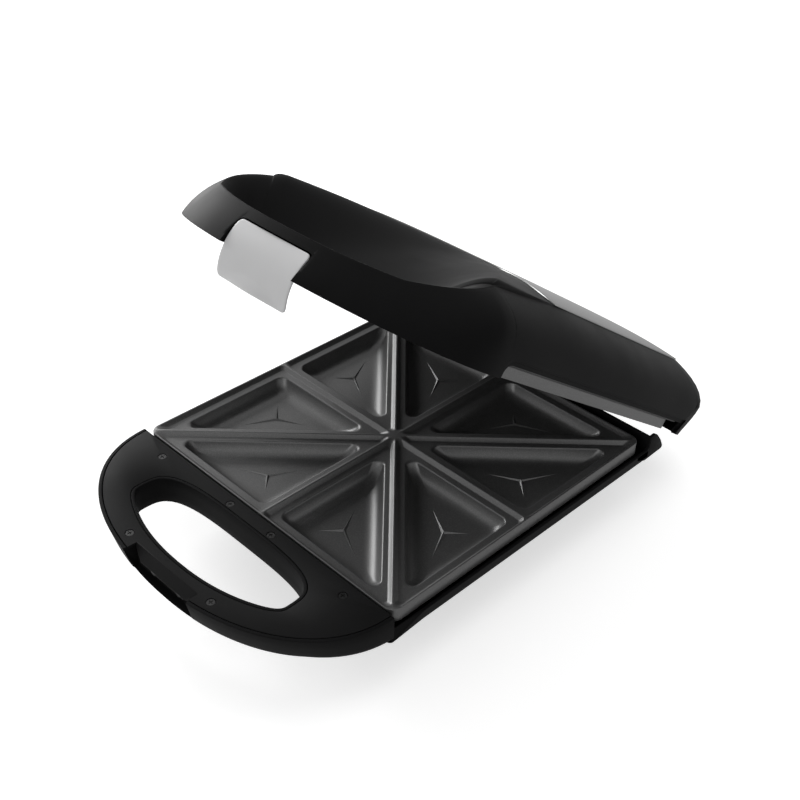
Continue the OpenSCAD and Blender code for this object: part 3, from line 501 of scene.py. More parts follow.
@dataclass(frozen=True)
class Outline:
    """Plan curves that lid and base share."""

    half: float = 125.0
    out_half: float = 128.2
    reach: float = 86.2
    roundness: float = 2.2
    hole_half: float = 76.3
    hole_depth: float = 25.65
    hole_centre: float = 39.85
    hole_bow: float = 12.9
    hole_power: float = 0.588
    wall_lean: float = 5.3

    @property
    def front(self) -> float:
        """The plate's front edge."""
        return -self.half

    @property
    def hole_y(self) -> float:
        """The middle of the carrying hole."""
        return self.front - self.hole_centre

    def edge(self, turn: float, inset: float) -> Pair:
        """Returns the handle's outline point at a turn of 0 to 90 degrees from its front."""
        a = math.radians(turn)
        return ((self.out_half - inset) * power(math.sin(a), 2 / self.roundness),
                self.front - (self.reach - inset) * power(math.cos(a), 2 / self.roundness))

    def upright(self, turn: float, inset: float) -> Pair:
        """Returns the outline point drawn in by inset, straight back where the turn is small."""
        share = min(1.0, max(0.0, (turn - 13) / 15))
        x = power(math.sin(math.radians(turn)), 2 / self.roundness) * (self.out_half - inset * share)
        turned = math.asin(min(1.0, x / (self.out_half - inset)) ** (self.roundness / 2))
        return self.edge(math.degrees(turned), inset)

    def lean(self, turn: float, share: float) -> float:
        """Returns how far the lower handle's wall leans in, at a share of its height."""
        return self.wall_lean * max(0.0, share) * min(1.0, (90 - turn) / 35)

    def turn_at(self, x: float) -> float:
        """Returns the turn at which the outline passes x."""
        return math.degrees(math.asin(power(x / self.out_half, self.roundness / 2)))

    def turn_at_y(self, y: float) -> float:
        """Returns the turn at which the outline passes y."""
        return math.degrees(math.acos(power((self.front - y) / self.reach, self.roundness / 2)))

    def stations(self, back: float, notch_half: float) -> list[Pair]:
        """Returns places round a handle: each a turn on the front curve and a share of its back.

        Args:
            back: Where the handle's straight back lies.
            notch_half: Half width of the straight edge at the latch.
        """
        end, notch = self.turn_at_y(back), self.turn_at(notch_half)
        turns = [t for t in spread(0, 88, 45) if t < end - 0.4] + [notch - 0.05, notch + 0.05, end]
        return [(t, 0.0) for t in sorted(turns)] + [(90.0, v) for v in spread(0.06, 1.0, 14)]

    def hole(self, turn: float, half: float, depth: float) -> Pair:
        """Returns a point of the carrying hole's outline.

        Args:
            turn: Degrees from the hole's front, 180 at its back.
            half: Half of the hole's width.
            depth: Half of its depth.

        Returns:
            The point in plan.
        """
        s = power(math.sin(math.radians(turn)), self.hole_power)
        c = math.cos(math.radians(turn))
        forward = math.copysign(power(abs(c), self.hole_power), c)
        bow = self.hole_bow * s * s * forward if c > 0 else 0.0
        return half * s, self.hole_y - depth * forward + bow

    def swing(self, turn: float, rear: float) -> float:
        """Returns the turn round the hole that faces an outline point.

        Args:
            turn: The turn of a point on the front curve.
            rear: How far along the sides and the back it is, 0 on the front curve.
        """
        if rear <= 0:
            return turn * (1 + 0.28 * (turn / 90) ** 2)
        return 115.2 + 64.8 * power(rear, 0.8)


# Cooking plate


@dataclass
class CookingPlate:
    """A cast plate with eight triangular pockets between crossing ribs."""

    half: float = 125.0
    corner: float = 8.0
    wall: float = 2.5
    skirt: float = 10.0
    land: float = -3.0
    floor: float = -13.2
    pocket_edge: float = 8.8
    pocket_mid: float = 7.4
    pocket_diag: float = 6.9
    side_steps: int = 12
    arc_steps: int = 8
    star: Pair = (86.2, 39.4)
    star_height: float = 1.1
    tips: tuple[Pair, ...] = ((-21.8, -11.7), (12.6, -12.0), (12.8, 25.6))

    def wedge(self, mid: float, diag: float, rim: float, radii: Point) -> list[Pair]:
        """Returns a rounded triangle inside one eighth of the plate.

        Args:
            mid: Its distance from the middle rib's centre line.
            diag: Its distance from the diagonal rib's centre line.
            rim: Its distance from the plate's edge.
            radii: Rounding at the hub, at the rim's middle and at the plate's corner.
        """
        side = self.half - rim
        corners = [(mid + diag * math.sqrt(2), mid), (side, mid), (side, side - diag * math.sqrt(2))]
        arcs = [rounded_corner(corners[i - 1], corners[i], corners[(i + 1) % 3], radii[i], self.arc_steps)
                for i in range(3)]
        return self.strung(arcs)

    def strung(self, arcs: Sequence[Sequence[Pair]]) -> list[Pair]:
        """Joins three corner arcs with evenly spaced points on the straight sides."""
        points: list[Pair] = []
        for i, arc in enumerate(arcs):
            points += arc
            start, end = arc[-1], arcs[(i + 1) % 3][0]
            points += [blend_pair(start, end, k / self.side_steps) for k in range(1, self.side_steps)]
        return points

    def border(self, inset: float) -> list[Pair]:
        """Returns the outer edge of one eighth, from the rim's middle to the plate's corner."""
        radius, side = self.corner - inset, self.half - inset
        centre = self.half - self.corner
        straight = [(side, centre * k / self.side_steps) for k in range(self.side_steps)]
        arc = [(centre + radius * math.cos(a), centre + radius * math.sin(a))
               for a in spread(0, math.pi / 4, self.arc_steps + 1)]
        return straight + arc

    def outer_wedge(self, inset: float) -> list[Pair]:
        """Returns the whole edge of one eighth, along rib centre lines and the plate's edge."""
        edge = self.border(inset)
        hub = [(0.0, 0.0)] * (self.arc_steps + 1)
        middle = [(self.half - inset, 0.0)] * (self.arc_steps + 1)
        return self.strung([hub, middle, edge[-self.arc_steps - 1:]])

    def rings(self) -> list[list[Point]]:
        """Returns the rings of one eighth, from its edge down to the pocket's floor."""
        rows: list[list[Point]] = [[(x, y, 0.0) for x, y in self.outer_wedge(0.4)]]
        steps = (
            (0.45, 0.95, (1.9, 3.0, 2.6), 0.0),
            (0.72, 1.25, (2.2, 3.4, 2.8), -0.1),
            (1.0, 1.55, (2.4, 3.6, 3.0), -0.42),
            (2.9, 3.6, (2.0, 3.0, 2.6), -2.7),
            (3.25, 4.0, (2.0, 3.0, 2.6), -2.93),
            (3.8, 4.6, (2.0, 3.0, 2.6), self.land),
        )
        for rib, rim, radii, z in steps:
            rows.append([(x, y, z) for x, y in self.wedge(rib, rib, rim, radii)])
        for inset, z in ((-0.5, 0.0), (0.0, -0.06), (0.45, -0.32), (0.75, -0.85), (0.95, -1.6)):
            rows.append(self.pocket_ring(inset, self.land + z))
        for inset, z in ((1.9, -6.6), (2.8, -8.4), (3.8, -9.8), (5.0, -10.95), (6.4, -11.85), (8.0, -12.5),
                         (9.8, -12.92), (11.6, -13.13), (13.2, self.floor)):
            rows.append(self.pocket_ring(inset, z))
        last = rows[-1]
        cx, cy = self.star
        for share in (0.3, 0.65):
            rows.append([(mix(x, cx, share), mix(y, cy, share), self.floor) for x, y, _ in last])
        return rows

    def pocket_ring(self, inset: float, z: float) -> list[Point]:
        """Returns the pocket's outline, drawn in by inset, at height z."""
        shrink = max(0.0, inset) * 0.2
        radii = (5.5 - shrink, 7.0 - shrink, 5.0 - shrink)
        return [(x, y, z) for x, y in self.wedge(self.pocket_mid + inset, self.pocket_diag + inset,
                                                 self.pocket_edge + inset, radii)]

    def eighth(self, skin: Skin, turn: Callable[[Point], Point]) -> None:
        """Adds one eighth of the plate: top, underside and skirt.

        Args:
            skin: Takes the faces.
            turn: Carries a point of the first eighth to this one.
        """
        rows = self.rings()
        centre = (*self.star, self.floor)
        for sink in (0.0, self.wall):
            moved = [[turn(self.sunk(p, sink)) for p in row] for row in rows]
            numbers = skin.grid(moved)
            hub = skin.add([turn(self.sunk(centre, sink))])[0]
            last = numbers[-1]
            for i, a in enumerate(last):
                skin.faces.append((a, last[(i + 1) % len(last)], hub))
        low = -self.skirt
        profile = [(0.4, 0.0), (0.12, -0.1), (0.0, -0.4), (0.0, low + 0.4), (0.15, low + 0.1), (0.5, low),
                   (1.9, low), (2.4, low + 0.4), (2.4, -self.wall)]
        skin.grid([[turn((x, y, z)) for x, y in self.border(inset)] for inset, z in profile], closed=False)
        self.ridge(skin, turn)

    def sunk(self, point: Point, depth: float) -> Point:
        """Returns a point of the underside below a point of the top."""
        if not depth:
            return point
        limit = self.half - 2.4
        return min(point[0], limit), min(point[1], limit), point[2] - depth

    def ridge(self, skin: Skin, turn: Callable[[Point], Point]) -> None:
        """Adds the three-armed ridge on the floor of one pocket."""
        cx, cy = self.star
        base = self.floor - 0.3
        tips = [(cx + x, cy + y, base + 0.25) for x, y in self.tips]
        waists = []
        for i in range(3):
            a, b = self.tips[i], self.tips[(i + 1) % 3]
            out = Vector(((a[0] + b[0]) / 2, (a[1] + b[1]) / 2)).normalized() * 1.5
            waists.append((cx + out.x, cy + out.y, base + 0.25))
        ring = skin.add([turn(p) for i in range(3) for p in (tips[i], waists[i])])
        top = skin.add([turn((cx, cy, self.floor + self.star_height))])[0]
        root = skin.add([turn((cx, cy, base - 1.0))])[0]
        for i, a in enumerate(ring):
            b = ring[(i + 1) % len(ring)]
            skin.faces += [(a, b, top), (b, a, root)]

    def build(self, name: str, place: Matrix) -> bpy.types.Object:
        """Makes the plate's object in its coat.

        Args:
            name: The piece's name.
            place: Carries the plate into the frame.

        Returns:
            The dressed object.
        """
        skin = Skin()
        for quarter in range(4):
            c, s = round(math.cos(quarter * math.pi / 2)), round(math.sin(quarter * math.pi / 2))
            for swap in (False, True):
                def turn(p: Point, c: int = c, s: int = s, swap: bool = swap) -> Point:
                    """Returns the point turned by the quarter, after a swap of x and y."""
                    x, y, z = (p[1], p[0], p[2]) if swap else p
                    return c * x - s * y, s * x + c * y, z
                self.eighth(skin, turn)
        return COAT.dress(skin.build(name, place, 32.0))


# Lower half


@dataclass
class BaseHousing:
    """The lower housing: handle tray, side walls, belly and hinge lugs."""

    plan: Outline = field(default_factory=Outline)
    height: float = 20.5
    lip: float = 2.6
    cover_back: float = -126.5
    tube_wall: float = 2.2
    seat_y: float = -199.2
    notch_half: float = 33.0
    side_top: float = -11.5
    belly_top: float = -18.6
    belly_low: float = -58.0
    wall: float = 2.6
    back: float = 135.0
    hinge_y: float = 128.5
    hinge_z: float = -50.0

    def outline_at(self, station: Pair, inset: float, z: float = 0.0) -> Pair:
        """Returns the tray's outline point at a station and a height."""
        turn, rear = station
        if rear <= 0:
            return self.plan.edge(turn, inset + self.plan.lean(turn, -z / self.height))
        start = self.plan.edge(self.plan.turn_at_y(self.cover_back), 0)[0]
        return start * (1 - rear), self.cover_back

    def section(self, station: Pair) -> list[Point]:
        """Returns the tray's cross-section at a station, from the hole outwards and back below."""
        turn, rear = station
        plan = self.plan
        swing = plan.swing(turn, rear)

        def hole(off: float, z: float) -> Point:
            """Returns a point beside the hole."""
            return (*plan.hole(swing, plan.hole_half + off, plan.hole_depth + off), z)

        def edge(inset: float, z: float) -> Point:
            """Returns a point beside the outline."""
            return (*self.outline_at(station, inset, z), z)

        inner = [hole(0.7, -self.height), hole(0.2, -self.height + 0.2), hole(0.0, -self.height + 0.7),
                 hole(0.0, -14.0), hole(0.0, -7.0), hole(0.0, -0.6), hole(0.12, -0.18), hole(0.5, 0.0),
                 hole(self.tube_wall - 0.3, 0.0), hole(self.tube_wall, -0.3), hole(self.tube_wall, -2.1)]
        low = -self.height
        if rear > 0:
            outer = [edge(0, -2.1)] * 6 + [edge(0, -8.0), edge(0, -15.5), edge(0, -17.0), edge(0, -18.5),
                                           edge(0, -19.5), edge(0, low)]
        elif turn < plan.turn_at(self.notch_half):
            x = self.outline_at(station, 0)[0]
            seat = self.seat_y
            outer = [(x, seat, -2.1), (x, seat, -2.6), (x, seat, -8.0), (x, seat, -18.2),
                     (x, seat - 0.25, -18.7), (x, seat - 0.8, -18.9), edge(1.6, -18.9), edge(1.2, -19.0),
                     edge(1.1, -19.2), edge(1.6, -19.6), edge(3.0, low + 0.2), edge(5.0, low)]
        else:
            outer = [edge(self.lip, -2.1), edge(self.lip, -0.3), edge(self.lip - 0.25, 0.0), edge(0.6, 0.0),
                     edge(0.15, -0.15), edge(0.0, -0.6), edge(0.0, -8.0), edge(0.0, low + 5.0),
                     edge(0.35, low + 2.9), edge(1.4, low + 1.25), edge(3.0, low + 0.3), edge(5.0, low)]
        return inner + outer

    def tray(self, skin: Skin) -> None:
        """Adds the handle's tray, one closed ring round the carrying hole."""
        stations = self.plan.stations(self.cover_back, self.notch_half)
        skin.grid(mirrored([self.section(s) for s in stations]), looped=True)

    def tub_ring(self, inset: float, z: float, front_z: float | None = None) -> list[Point]:
        """Returns a ring of the belly at one height.

        Args:
            inset: How far inside the outer skin it lies.
            z: Its height.
            front_z: Its height along the front, where that differs.
        """
        k = max(0.0, (self.belly_top - z) / (self.belly_top - self.belly_low))
        lean = 1.35 if k > 0 else 1.0
        w = mix(self.plan.out_half, 84.0, k) - inset * lean
        y0 = mix(-130.0, -90.0, k) + inset * lean
        y1 = mix(self.back, 104.0, k) - inset * lean
        r = mix(3.0, 12.0, min(1.0, k * 2.5)) if z < self.belly_top + 0.1 else 3.0
        corners = [(w, y0), (w, y1), (-w, y1), (-w, y0)]
        ring: list[Point] = []
        for i, at in enumerate(corners):
            arc = rounded_corner(corners[i - 1], at, corners[(i + 1) % 4], r, 8)
            nxt = rounded_corner(at, corners[(i + 1) % 4], corners[(i + 2) % 4], r, 8)
            flat = arc + [blend_pair(arc[-1], nxt[0], s / 10) for s in range(1, 10)]
            ring += [(x, y, front_z if front_z is not None and y < self.cover_back else z) for x, y in flat]
        return ring

    def tub(self, skin: Skin) -> None:
        """Adds the side walls and the belly below them."""
        top, low = self.side_top, self.belly_low
        under = -self.height + 0.6
        rows = [self.tub_ring(0.35, top, under), self.tub_ring(0.0, top - 0.4, under - 0.1),
                self.tub_ring(0.0, self.belly_top + 1.6, under - 0.2),
                self.tub_ring(0.12, self.belly_top + 0.3, under - 0.3),
                self.tub_ring(0.1, self.belly_top - 1.2)]
        rows += [self.tub_ring(0.0, z) for z in spread(-24, low + 5, 6)]
        rows += [self.tub_ring(1.2, low + 2.2), self.tub_ring(4.0, low + 0.5), self.tub_ring(8.0, low)]
        rows += [self.tub_ring(12.0, low), self.tub_ring(12.0, low + 2.4)]
        rows += [self.tub_ring(self.wall, z) for z in spread(low + 5, -24, 5)]
        rows += [self.tub_ring(2.4, self.belly_top, under), self.tub_ring(2.4, top - 0.4, under),
                 self.tub_ring(2.05, top, under)]
        skin.grid(rows, looped=True)

    def ear_profile(self) -> list[Pair]:
        """Returns the outline of the raised ear at the back of a side wall, in y and z."""
        q, half = self.back, self.plan.half
        return [(half - 6, self.side_top), (half + 5, self.side_top + 0.3), (q - 2.7, -9.0), (q - 2.0, -5.0),
                (q - 1.6, 0.0), (q + 3.6, 0.0), (q + 7.0, -2.5), (q + 12.5, -10.0), (q + 15.6, -16.0),
                (q + 15.0, -18.2), (q + 12.0, -18.6), (q - 6.0, -19.4), (half - 6, -15.0)]

    def build(self, place: Matrix) -> list[bpy.types.Object]:
        """Makes the housing's objects.

        Args:
            place: Carries the lower half into the frame.

        Returns:
            The housing and its ears, back wall and lugs.
        """
        skin = Skin()
        self.tray(skin)
        self.tub(skin)
        made = [skin.build("base_housing", place, 38.0)]
        inner = self.plan.half + 0.8
        for side, word in ((-1, "left"), (1, "right")):
            low, high = sorted((side * inner, side * self.plan.out_half))
            made.append(soft_slab(f"base_ear_{word}", self.ear_profile(), low, high, 0.5, place))
            for number, start in enumerate((40.0, 58.6)):
                a, b = sorted((side * start, side * (start + 5.4)))
                made.append(soft_slab(f"hinge_lug_{word}_{number}", self.lug_profile(), a, b, 0.7, place))
        w = self.plan.out_half - 0.3
        wall = [(self.back - 2.6, -19.0), (self.back, -19.0), (self.back, -0.6), (self.back - 2.6, -0.6)]
        made.append(soft_slab("base_back_wall", wall, -w, w, 0.5, place))
        return [HOUSING.dress(thing) for thing in made]

    def lug_profile(self) -> list[Pair]:
        """Returns the outline of a hinge lug, in y and z."""
        y, z, r = self.hinge_y, self.hinge_z, 7.0
        arc = [(y + r * math.sin(a), z - r * math.cos(a)) for a in spread(0, math.pi * 0.86, 15)]
        return [(102.0, z - r)] + arc + [(117.0, z + 12.0), (102.0, z - 2.0)]


@dataclass
class HandleCover:
    """The flat cover plate of a handle, with a carrying hole and a straight edge at the latch."""

    plan: Outline
    low: float
    high: float
    hole_half: float
    hole_depth: float
    deep: float = 3.2
    back: float = -126.5
    seat_y: float = -199.0
    notch_half: float = 33.0

    def section(self, station: Pair, swing: float) -> list[Point]:
        """Returns the plate's closed cross-section at a station."""
        turn, rear = station

        def edge(inset: float, z: float) -> Point:
            """Returns a point beside the outline."""
            if rear > 0:
                start = self.plan.edge(self.plan.turn_at_y(self.back), self.deep)[0]
                return start * (1 - rear), self.back - inset, z
            x, y = self.plan.edge(turn, self.deep + inset)
            if turn < self.plan.turn_at(self.notch_half):
                y = max(y, self.seat_y + inset)
            return x, y, z

        def hole(off: float, z: float) -> Point:
            """Returns a point beside the hole."""
            return (*self.plan.hole(swing, self.hole_half + off, self.hole_depth + off), z)

        soft = 0.25
        rounding = [(0.0, self.high - soft), (0.08, self.high - 0.07), (soft, self.high)]
        inner = [hole(inset, z) for inset, z in [(0.0, self.low), *rounding]]
        return inner + [edge(inset, z) for inset, z in [*reversed(rounding), (0.0, self.low)]]

    def nose(self, name: str, place: Matrix) -> bpy.types.Object:
        """Makes the ramp that leads the latch over its catch, narrower towards its foot."""
        y, w = self.seat_y - 0.2, self.notch_half - 0.1
        rows = []
        sections = (
            (w, y + 1.4, -0.01, -4.5),
            (w, y - 0.04, -0.02, -4.5),
            (w, y - 0.05, -0.05, -8.6),
            (w - 9.8, y - 4.2, -8.2, -8.6),
        )
        for half, at, top, low in sections:
            rows.append([(-half, at, top), (half, at, top), (half, at, low), (-half, at, low)])
        skin = Skin()
        skin.tube(rows)
        return softened(skin.build(name, place), 0.2)

    def build(
        self, name: str, place: Matrix, holes: Sequence[Pair], wide: float, narrow: float
    ) -> bpy.types.Object:
        """Makes the cover with its screw holes.

        Args:
            name: The piece's name.
            place: Carries the cover into the frame.
            holes: Where the screws stand, on the right half.
            wide: Radius of the sunk seat of a screw, none where it is zero.
            narrow: Radius of the hole through the plate.
        """
        stations = self.plan.stations(self.back - 0.02, self.notch_half)
        rings = [self.section(s, self.plan.swing(*s)) for s in stations]
        skin = Skin()
        skin.grid(mirrored(rings), looped=True)
        thing = skin.build(name, place, 38.0)
        tool = Skin()
        for x, y in [(s * x, y) for x, y in holes for s in (-1, 1)]:
            bores = ((wide, self.high - 1.3, self.high + 1), (narrow, self.low - 1, self.high - 1))
            for radius, z0, z1 in bores:
                if radius:
                    tool.tube([circle(x, y, z, radius, 40) for z in (z0, z1)])
        cut(thing, tool.build("tool", place), 38.0)
        return COVER.dress(thing)


# Lid


class Zone(Enum):
    """Stretches of the lid's outline."""

    FRONT = 0
    SIDE = 1
    CORNER = 2
    REAR = 3


@dataclass(frozen=True)
class Station:
    """One place on the lid's outline, with the heights of its lower edges."""

    zone: Zone
    place: float
    low: float
    step: float

    def along(self) -> float:
        """Returns how far round the sides and the back it is, from 0 to 1."""
        if self.zone is Zone.FRONT:
            return 0.0
        if self.zone is Zone.SIDE:
            return 0.62 * self.place
        if self.zone is Zone.CORNER:
            return 0.62 + 0.08 * self.place / 90
        return 0.7 + 0.3 * self.place


@dataclass
class LidSkin:
    """The domed lid: rings of points round the carrying hole, outside and inside."""

    plan: Outline = field(default_factory=Outline)
    gap: float = 0.8
    front_rim: float = 25.6
    crown_height: float = 55.0
    crown_drop: float = 5.0
    recess: float = 13.0
    back: float = 151.5
    bulge: float = 20.0
    back_lean: float = 14.0
    out_back: float = 135.0
    tube_wall: float = 2.2
    notch_half: float = 31.8

    def __post_init__(self) -> None:
        """Works out the heights and widths that depend on the others."""
        self.side_z = self.front_rim + 3.2 + 0.372 * 47
        self.crown_half = self.plan.out_half - 29.2
        self.crown_rear = self.back + self.bulge - self.back_lean
        self.notch_top = self.front_rim - 6.4
        self.hole_half = self.plan.hole_half - 2.7
        self.hole_depth = self.plan.hole_depth - 1.75
        self.notch_turn = self.plan.turn_at(self.notch_half)

    def back_reach(self, z: float) -> float:
        """Returns how far back the lid reaches at a height."""
        if z < 27:
            return self.back + self.bulge * min(1.0, max(0.0, (z - 2) / 25))
        share = (z - 27) / (self.crown_height - self.crown_drop - 27)
        return self.back + self.bulge - self.back_lean * share ** 2.2

    def side_share(self, y: float) -> float:
        """Returns the place of y along the side."""
        return (y - self.plan.front) / (self.back - 9 - self.plan.front)

    def recess_edge(self, y: float, margin: float) -> float:
        """Returns the height of the side's cut-away at y, drawn in by a margin."""
        front, rear, r = self.plan.front + 3 + margin, self.out_back + 4 - margin, 9.0 - margin
        top = self.recess - margin
        if y <= front or y >= rear:
            return self.gap
        if y < front + r:
            return top - r + math.sqrt(max(0.0, r * r - (front + r - y) ** 2))
        return top

    def stations(self) -> list[Station]:
        """Returns the right half's stations, from the front's middle to the back's middle."""
        made = []
        turns = sorted(spread(0, 90, 61) + [self.notch_turn - 0.08, self.notch_turn + 0.08])
        for turn in turns:
            x = self.plan.edge(turn, 0)[0]
            low = self.gap
            if x < self.notch_half:
                r = 3.0
                over = max(0.0, x - (self.notch_half - r))
                low = self.notch_top - r + math.sqrt(max(0.0, r * r - over * over))
            made.append(Station(Zone.FRONT, turn, low, low))
        front, margin = self.plan.front + 3, 3.2
        ys = [self.plan.front + 1.5, front - 0.05, front + 0.05, front + 0.6, front + 1.6, front + 2.6]
        ys += [front + margin - 0.05, front + margin + 0.05]
        ys += [front + 4, front + 5, front + 6.5, front + 9, front + 12]
        rear = self.out_back + 4
        ys += spread(-102, rear - margin - 2, 22)
        ys += [rear - margin - 0.05, rear - margin + 0.05, rear - 0.05, rear + 0.05]
        for y in ys:
            low, step = self.recess_edge(y, 0), self.recess_edge(y, margin)
            made.append(Station(Zone.SIDE, self.side_share(y), low, step))
        made += [Station(Zone.CORNER, a, self.gap, self.gap) for a in spread(10, 90, 9)]
        made += [Station(Zone.REAR, s, self.gap, self.gap) for s in spread(0.12, 1.0, 9)]
        return made

    def shoulder_inset(self, s: Station) -> float:
        """Returns how far inside the outline the shoulder lies."""
        if s.zone is Zone.FRONT:
            return 13.0 + 0.345 * max(0.0, s.place - 43)
        return self.plan.out_half - self.crown_half

    def shoulder_z(self, s: Station) -> float:
        """Returns the shoulder's height."""
        if s.zone is Zone.FRONT:
            t = s.place
            return self.front_rim + 3.2 * (t / 43) ** 2 if t < 43 else self.front_rim + 3.2 + 0.372 * (t - 43)
        return mix(self.side_z, self.crown_height - self.crown_drop, min(1.0, s.along() / 0.2))

    def lean(self, s: Station, z: float) -> float:
        """Returns how far the wall leans in at a height."""
        bend = 1.3 + 3.2 * min(1.0, s.place / 85) ** 5 if s.zone is Zone.FRONT else 4.5
        return self.shoulder_inset(s) * power(z / self.shoulder_z(s), bend)

    def outline(self, s: Station, inset: float, z: float) -> Pair:
        """Returns the outline point of a station, drawn in by inset, at a height."""
        if s.zone is Zone.FRONT:
            return self.plan.upright(s.place, inset)
        w, y = self.plan.out_half - inset, self.back_reach(z)
        r = 9 + 6 * min(1.0, z / self.side_z)
        if s.zone is Zone.SIDE:
            return w, mix(self.plan.front, y - r, s.place)
        if s.zone is Zone.CORNER:
            a = math.radians(s.place)
            return w - r + r * math.cos(a), y - r + r * math.sin(a)
        return (w - r) * (1 - s.place), y

    def crown(self, x: float, y: float) -> float:
        """Returns the height of the lid's top over a plan point."""
        side = power(abs(x) / self.crown_half, 3.7) ** 4
        rear = power((y - self.crown_rear + 60) / 60, 3) ** 4
        return self.crown_height - self.crown_drop * (side + rear) ** 0.25

    def scoop_edge(self, s: Station) -> Point:
        """Returns the upper edge of the scoop round the carrying hole."""
        if s.zone is Zone.FRONT:
            return (*self.plan.upright(s.place, self.shoulder_inset(s) + 1), self.shoulder_z(s))
        a = math.radians(90 * s.along())
        x = (self.crown_half - 1.2) * power(math.cos(a), 1.6)
        y = self.plan.front + 111 * power(math.sin(a), 1.6)
        return x, y, mix(self.side_z, self.crown(x, y), min(1.0, s.along() / 0.12))

    def hole(self, s: Station, off: float) -> Pair:
        """Returns the carrying hole's point that faces a station."""
        turn = s.place if s.zone is Zone.FRONT else 90.0
        return self.plan.hole(self.plan.swing(turn, s.along()), self.hole_half + off, self.hole_depth + off)

    def rise(self, s: Station, share: float) -> float:
        """Returns the scoop's height share at a share of the way out from the hole."""
        steep = 1 + 0.6 * (s.place / 90) ** 2 if s.zone is Zone.FRONT else 1.6
        return 1 - (1 - share) ** steep

    def wall(self, s: Station, share: float) -> Point:
        """Returns a point of the outer wall."""
        z = mix(s.low, self.shoulder_z(s), share)
        return (*self.outline(s, self.lean(s, z), z), z)

    def shoulder(self, s: Station, drop: float) -> Point:
        """Returns the shoulder's point, outside or, with a drop, inside."""
        front = s.zone is Zone.FRONT
        z = self.shoulder_z(s)
        in_notch = s.low > self.notch_top - 4
        out = (0.2 if in_notch else 1.4) if drop > 1 and front else 0.0
        x, y = self.outline(s, self.shoulder_inset(s) - out, z)
        return x - (0.6 if drop and not front else 0.0), y, z - drop

    def over_crown(self, s: Station, share: float, drop: float) -> Point:
        """Returns a point between the shoulder and the scoop's edge."""
        a, b = self.shoulder(s, 0), self.scoop_edge(s)
        x, y = mix(a[0], b[0], share), mix(a[1], b[1], share)
        z = mix(a[2], b[2], share)
        if s.zone is not Zone.FRONT:
            z = mix(z, self.crown(x, y), min(1.0, s.along() / 0.12))
        return x, y, z - drop

    def scoop(self, s: Station, share: float) -> Point:
        """Returns a point of the scoop's outer face."""
        h, b = self.hole(s, 0), self.scoop_edge(s)
        return mix(h[0], b[0], share), mix(h[1], b[1], share), mix(7.0, b[2], self.rise(s, share))

    def scoop_inside(self, s: Station, share: float) -> Point:
        """Returns a point of the scoop's inner face."""
        h, c, b = self.hole(s, self.tube_wall), self.shoulder(s, 4.2), self.scoop_edge(s)
        if s.zone is Zone.FRONT:
            end = c
        else:
            end = (mix(b[0], c[0], 0.06), mix(b[1], c[1], 0.06), b[2] - 2.9)
        return mix(h[0], end[0], share), mix(h[1], end[1], share), mix(4.2, end[2], self.rise(s, share))

    def back_share(self, s: Station) -> float:
        """Returns how much the inner skin moves forward, for the back wall's thickness."""
        return 0.0 if s.zone is Zone.FRONT else s.place if s.zone is Zone.SIDE else 1.0

    def inner(self, s: Station, inset: float, z: float, plan_z: float | None = None) -> Point:
        """Returns a point of the inner skin near the lower edge."""
        x, y = self.outline(s, inset, z if plan_z is None else plan_z)
        return x, y - 2.6 * self.back_share(s), z

    def ring(self, s: Station) -> list[Point]:
        """Returns one closed cross-section of the lid."""
        foot = self.lean(s, s.low)
        side = s.zone is Zone.SIDE
        deep = 1.3 if side else 0.9
        recess = self.outline(s, foot + deep, s.low)
        low_edge = [
            self.inner(s, foot + 2.6, s.step, s.low),
            (*self.outline(s, foot + deep + 0.2, s.low), s.step),
            (*recess, s.step + 0.15),
            (*recess, max(s.low, s.step + 0.2)),
            (*self.outline(s, foot + 0.3, s.low), s.low),
            (*self.outline(s, foot + 0.06, s.low + 0.08), s.low + 0.08),
        ]
        shares = (0.012, 0.08, 0.18, 0.29, 0.4, 0.51, 0.61, 0.71, 0.79, 0.86, 0.92, 0.965, 0.99)
        walls = [self.wall(s, f) for f in shares]
        tops = [self.shoulder(s, 0.12 if s.zone is Zone.FRONT else 0.0)]
        tops += [self.over_crown(s, k, 0) for k in (0.1, 0.25, 0.4, 0.55, 0.7, 0.85, 0.95)]
        tops.append(self.scoop_edge(s))
        shares = (0.97, 0.92, 0.85, 0.76, 0.67, 0.58, 0.49, 0.4, 0.31, 0.22, 0.14, 0.07, 0.025)
        scoops = [self.scoop(s, u) for u in shares]
        h0, h1 = self.hole(s, 0), self.hole(s, self.tube_wall)
        tube = [(*h0, z) for z in (6.6, 4.0, self.gap + 0.3)]
        tube += [(*self.hole(s, inset), self.gap) for inset in (0.3, self.tube_wall - 0.2)]
        tube += [(*h1, z) for z in (self.gap + 0.2, 4.2)]
        under = [self.scoop_inside(s, u) for u in (0.12, 0.28, 0.46, 0.66, 0.86)]
        if s.zone is Zone.FRONT:
            a, c = self.scoop_inside(s, 0.9), self.shoulder(s, 4.2)
            under += [tuple(mix(c[i], a[i], k) for i in range(3)) for k in (0.2, 0.15, 0.1, 0.05)]
        else:
            under += [self.scoop_inside(s, 1)] + [self.over_crown(s, k, 2.9) for k in (0.75, 0.5, 0.25)]
        under += [self.shoulder(s, 4.2)]
        end = self.inner(s, foot + 2.6 + 0.5, max(s.low, s.step) + 1.2, s.low)
        if s.zone is Zone.FRONT and s.low > self.notch_top - 4:
            start = under[-1]
            return low_edge + walls + tops + scoops + tube + under + [
                tuple(mix(start[i], end[i], k / 6) for i in range(3)) for k in range(1, 7)]
        for f, g in zip((0.94, 0.84, 0.68, 0.5, 0.3), (0.8, 0.55, 0.25, 0.1, 0.04)):
            z = mix(s.low, self.shoulder_z(s), f)
            d = 2.6 - 1.4 * g
            x, y = self.outline(s, self.lean(s, z) + d, z)
            under.append((x, y - d * self.back_share(s), z - 3.2 * g))
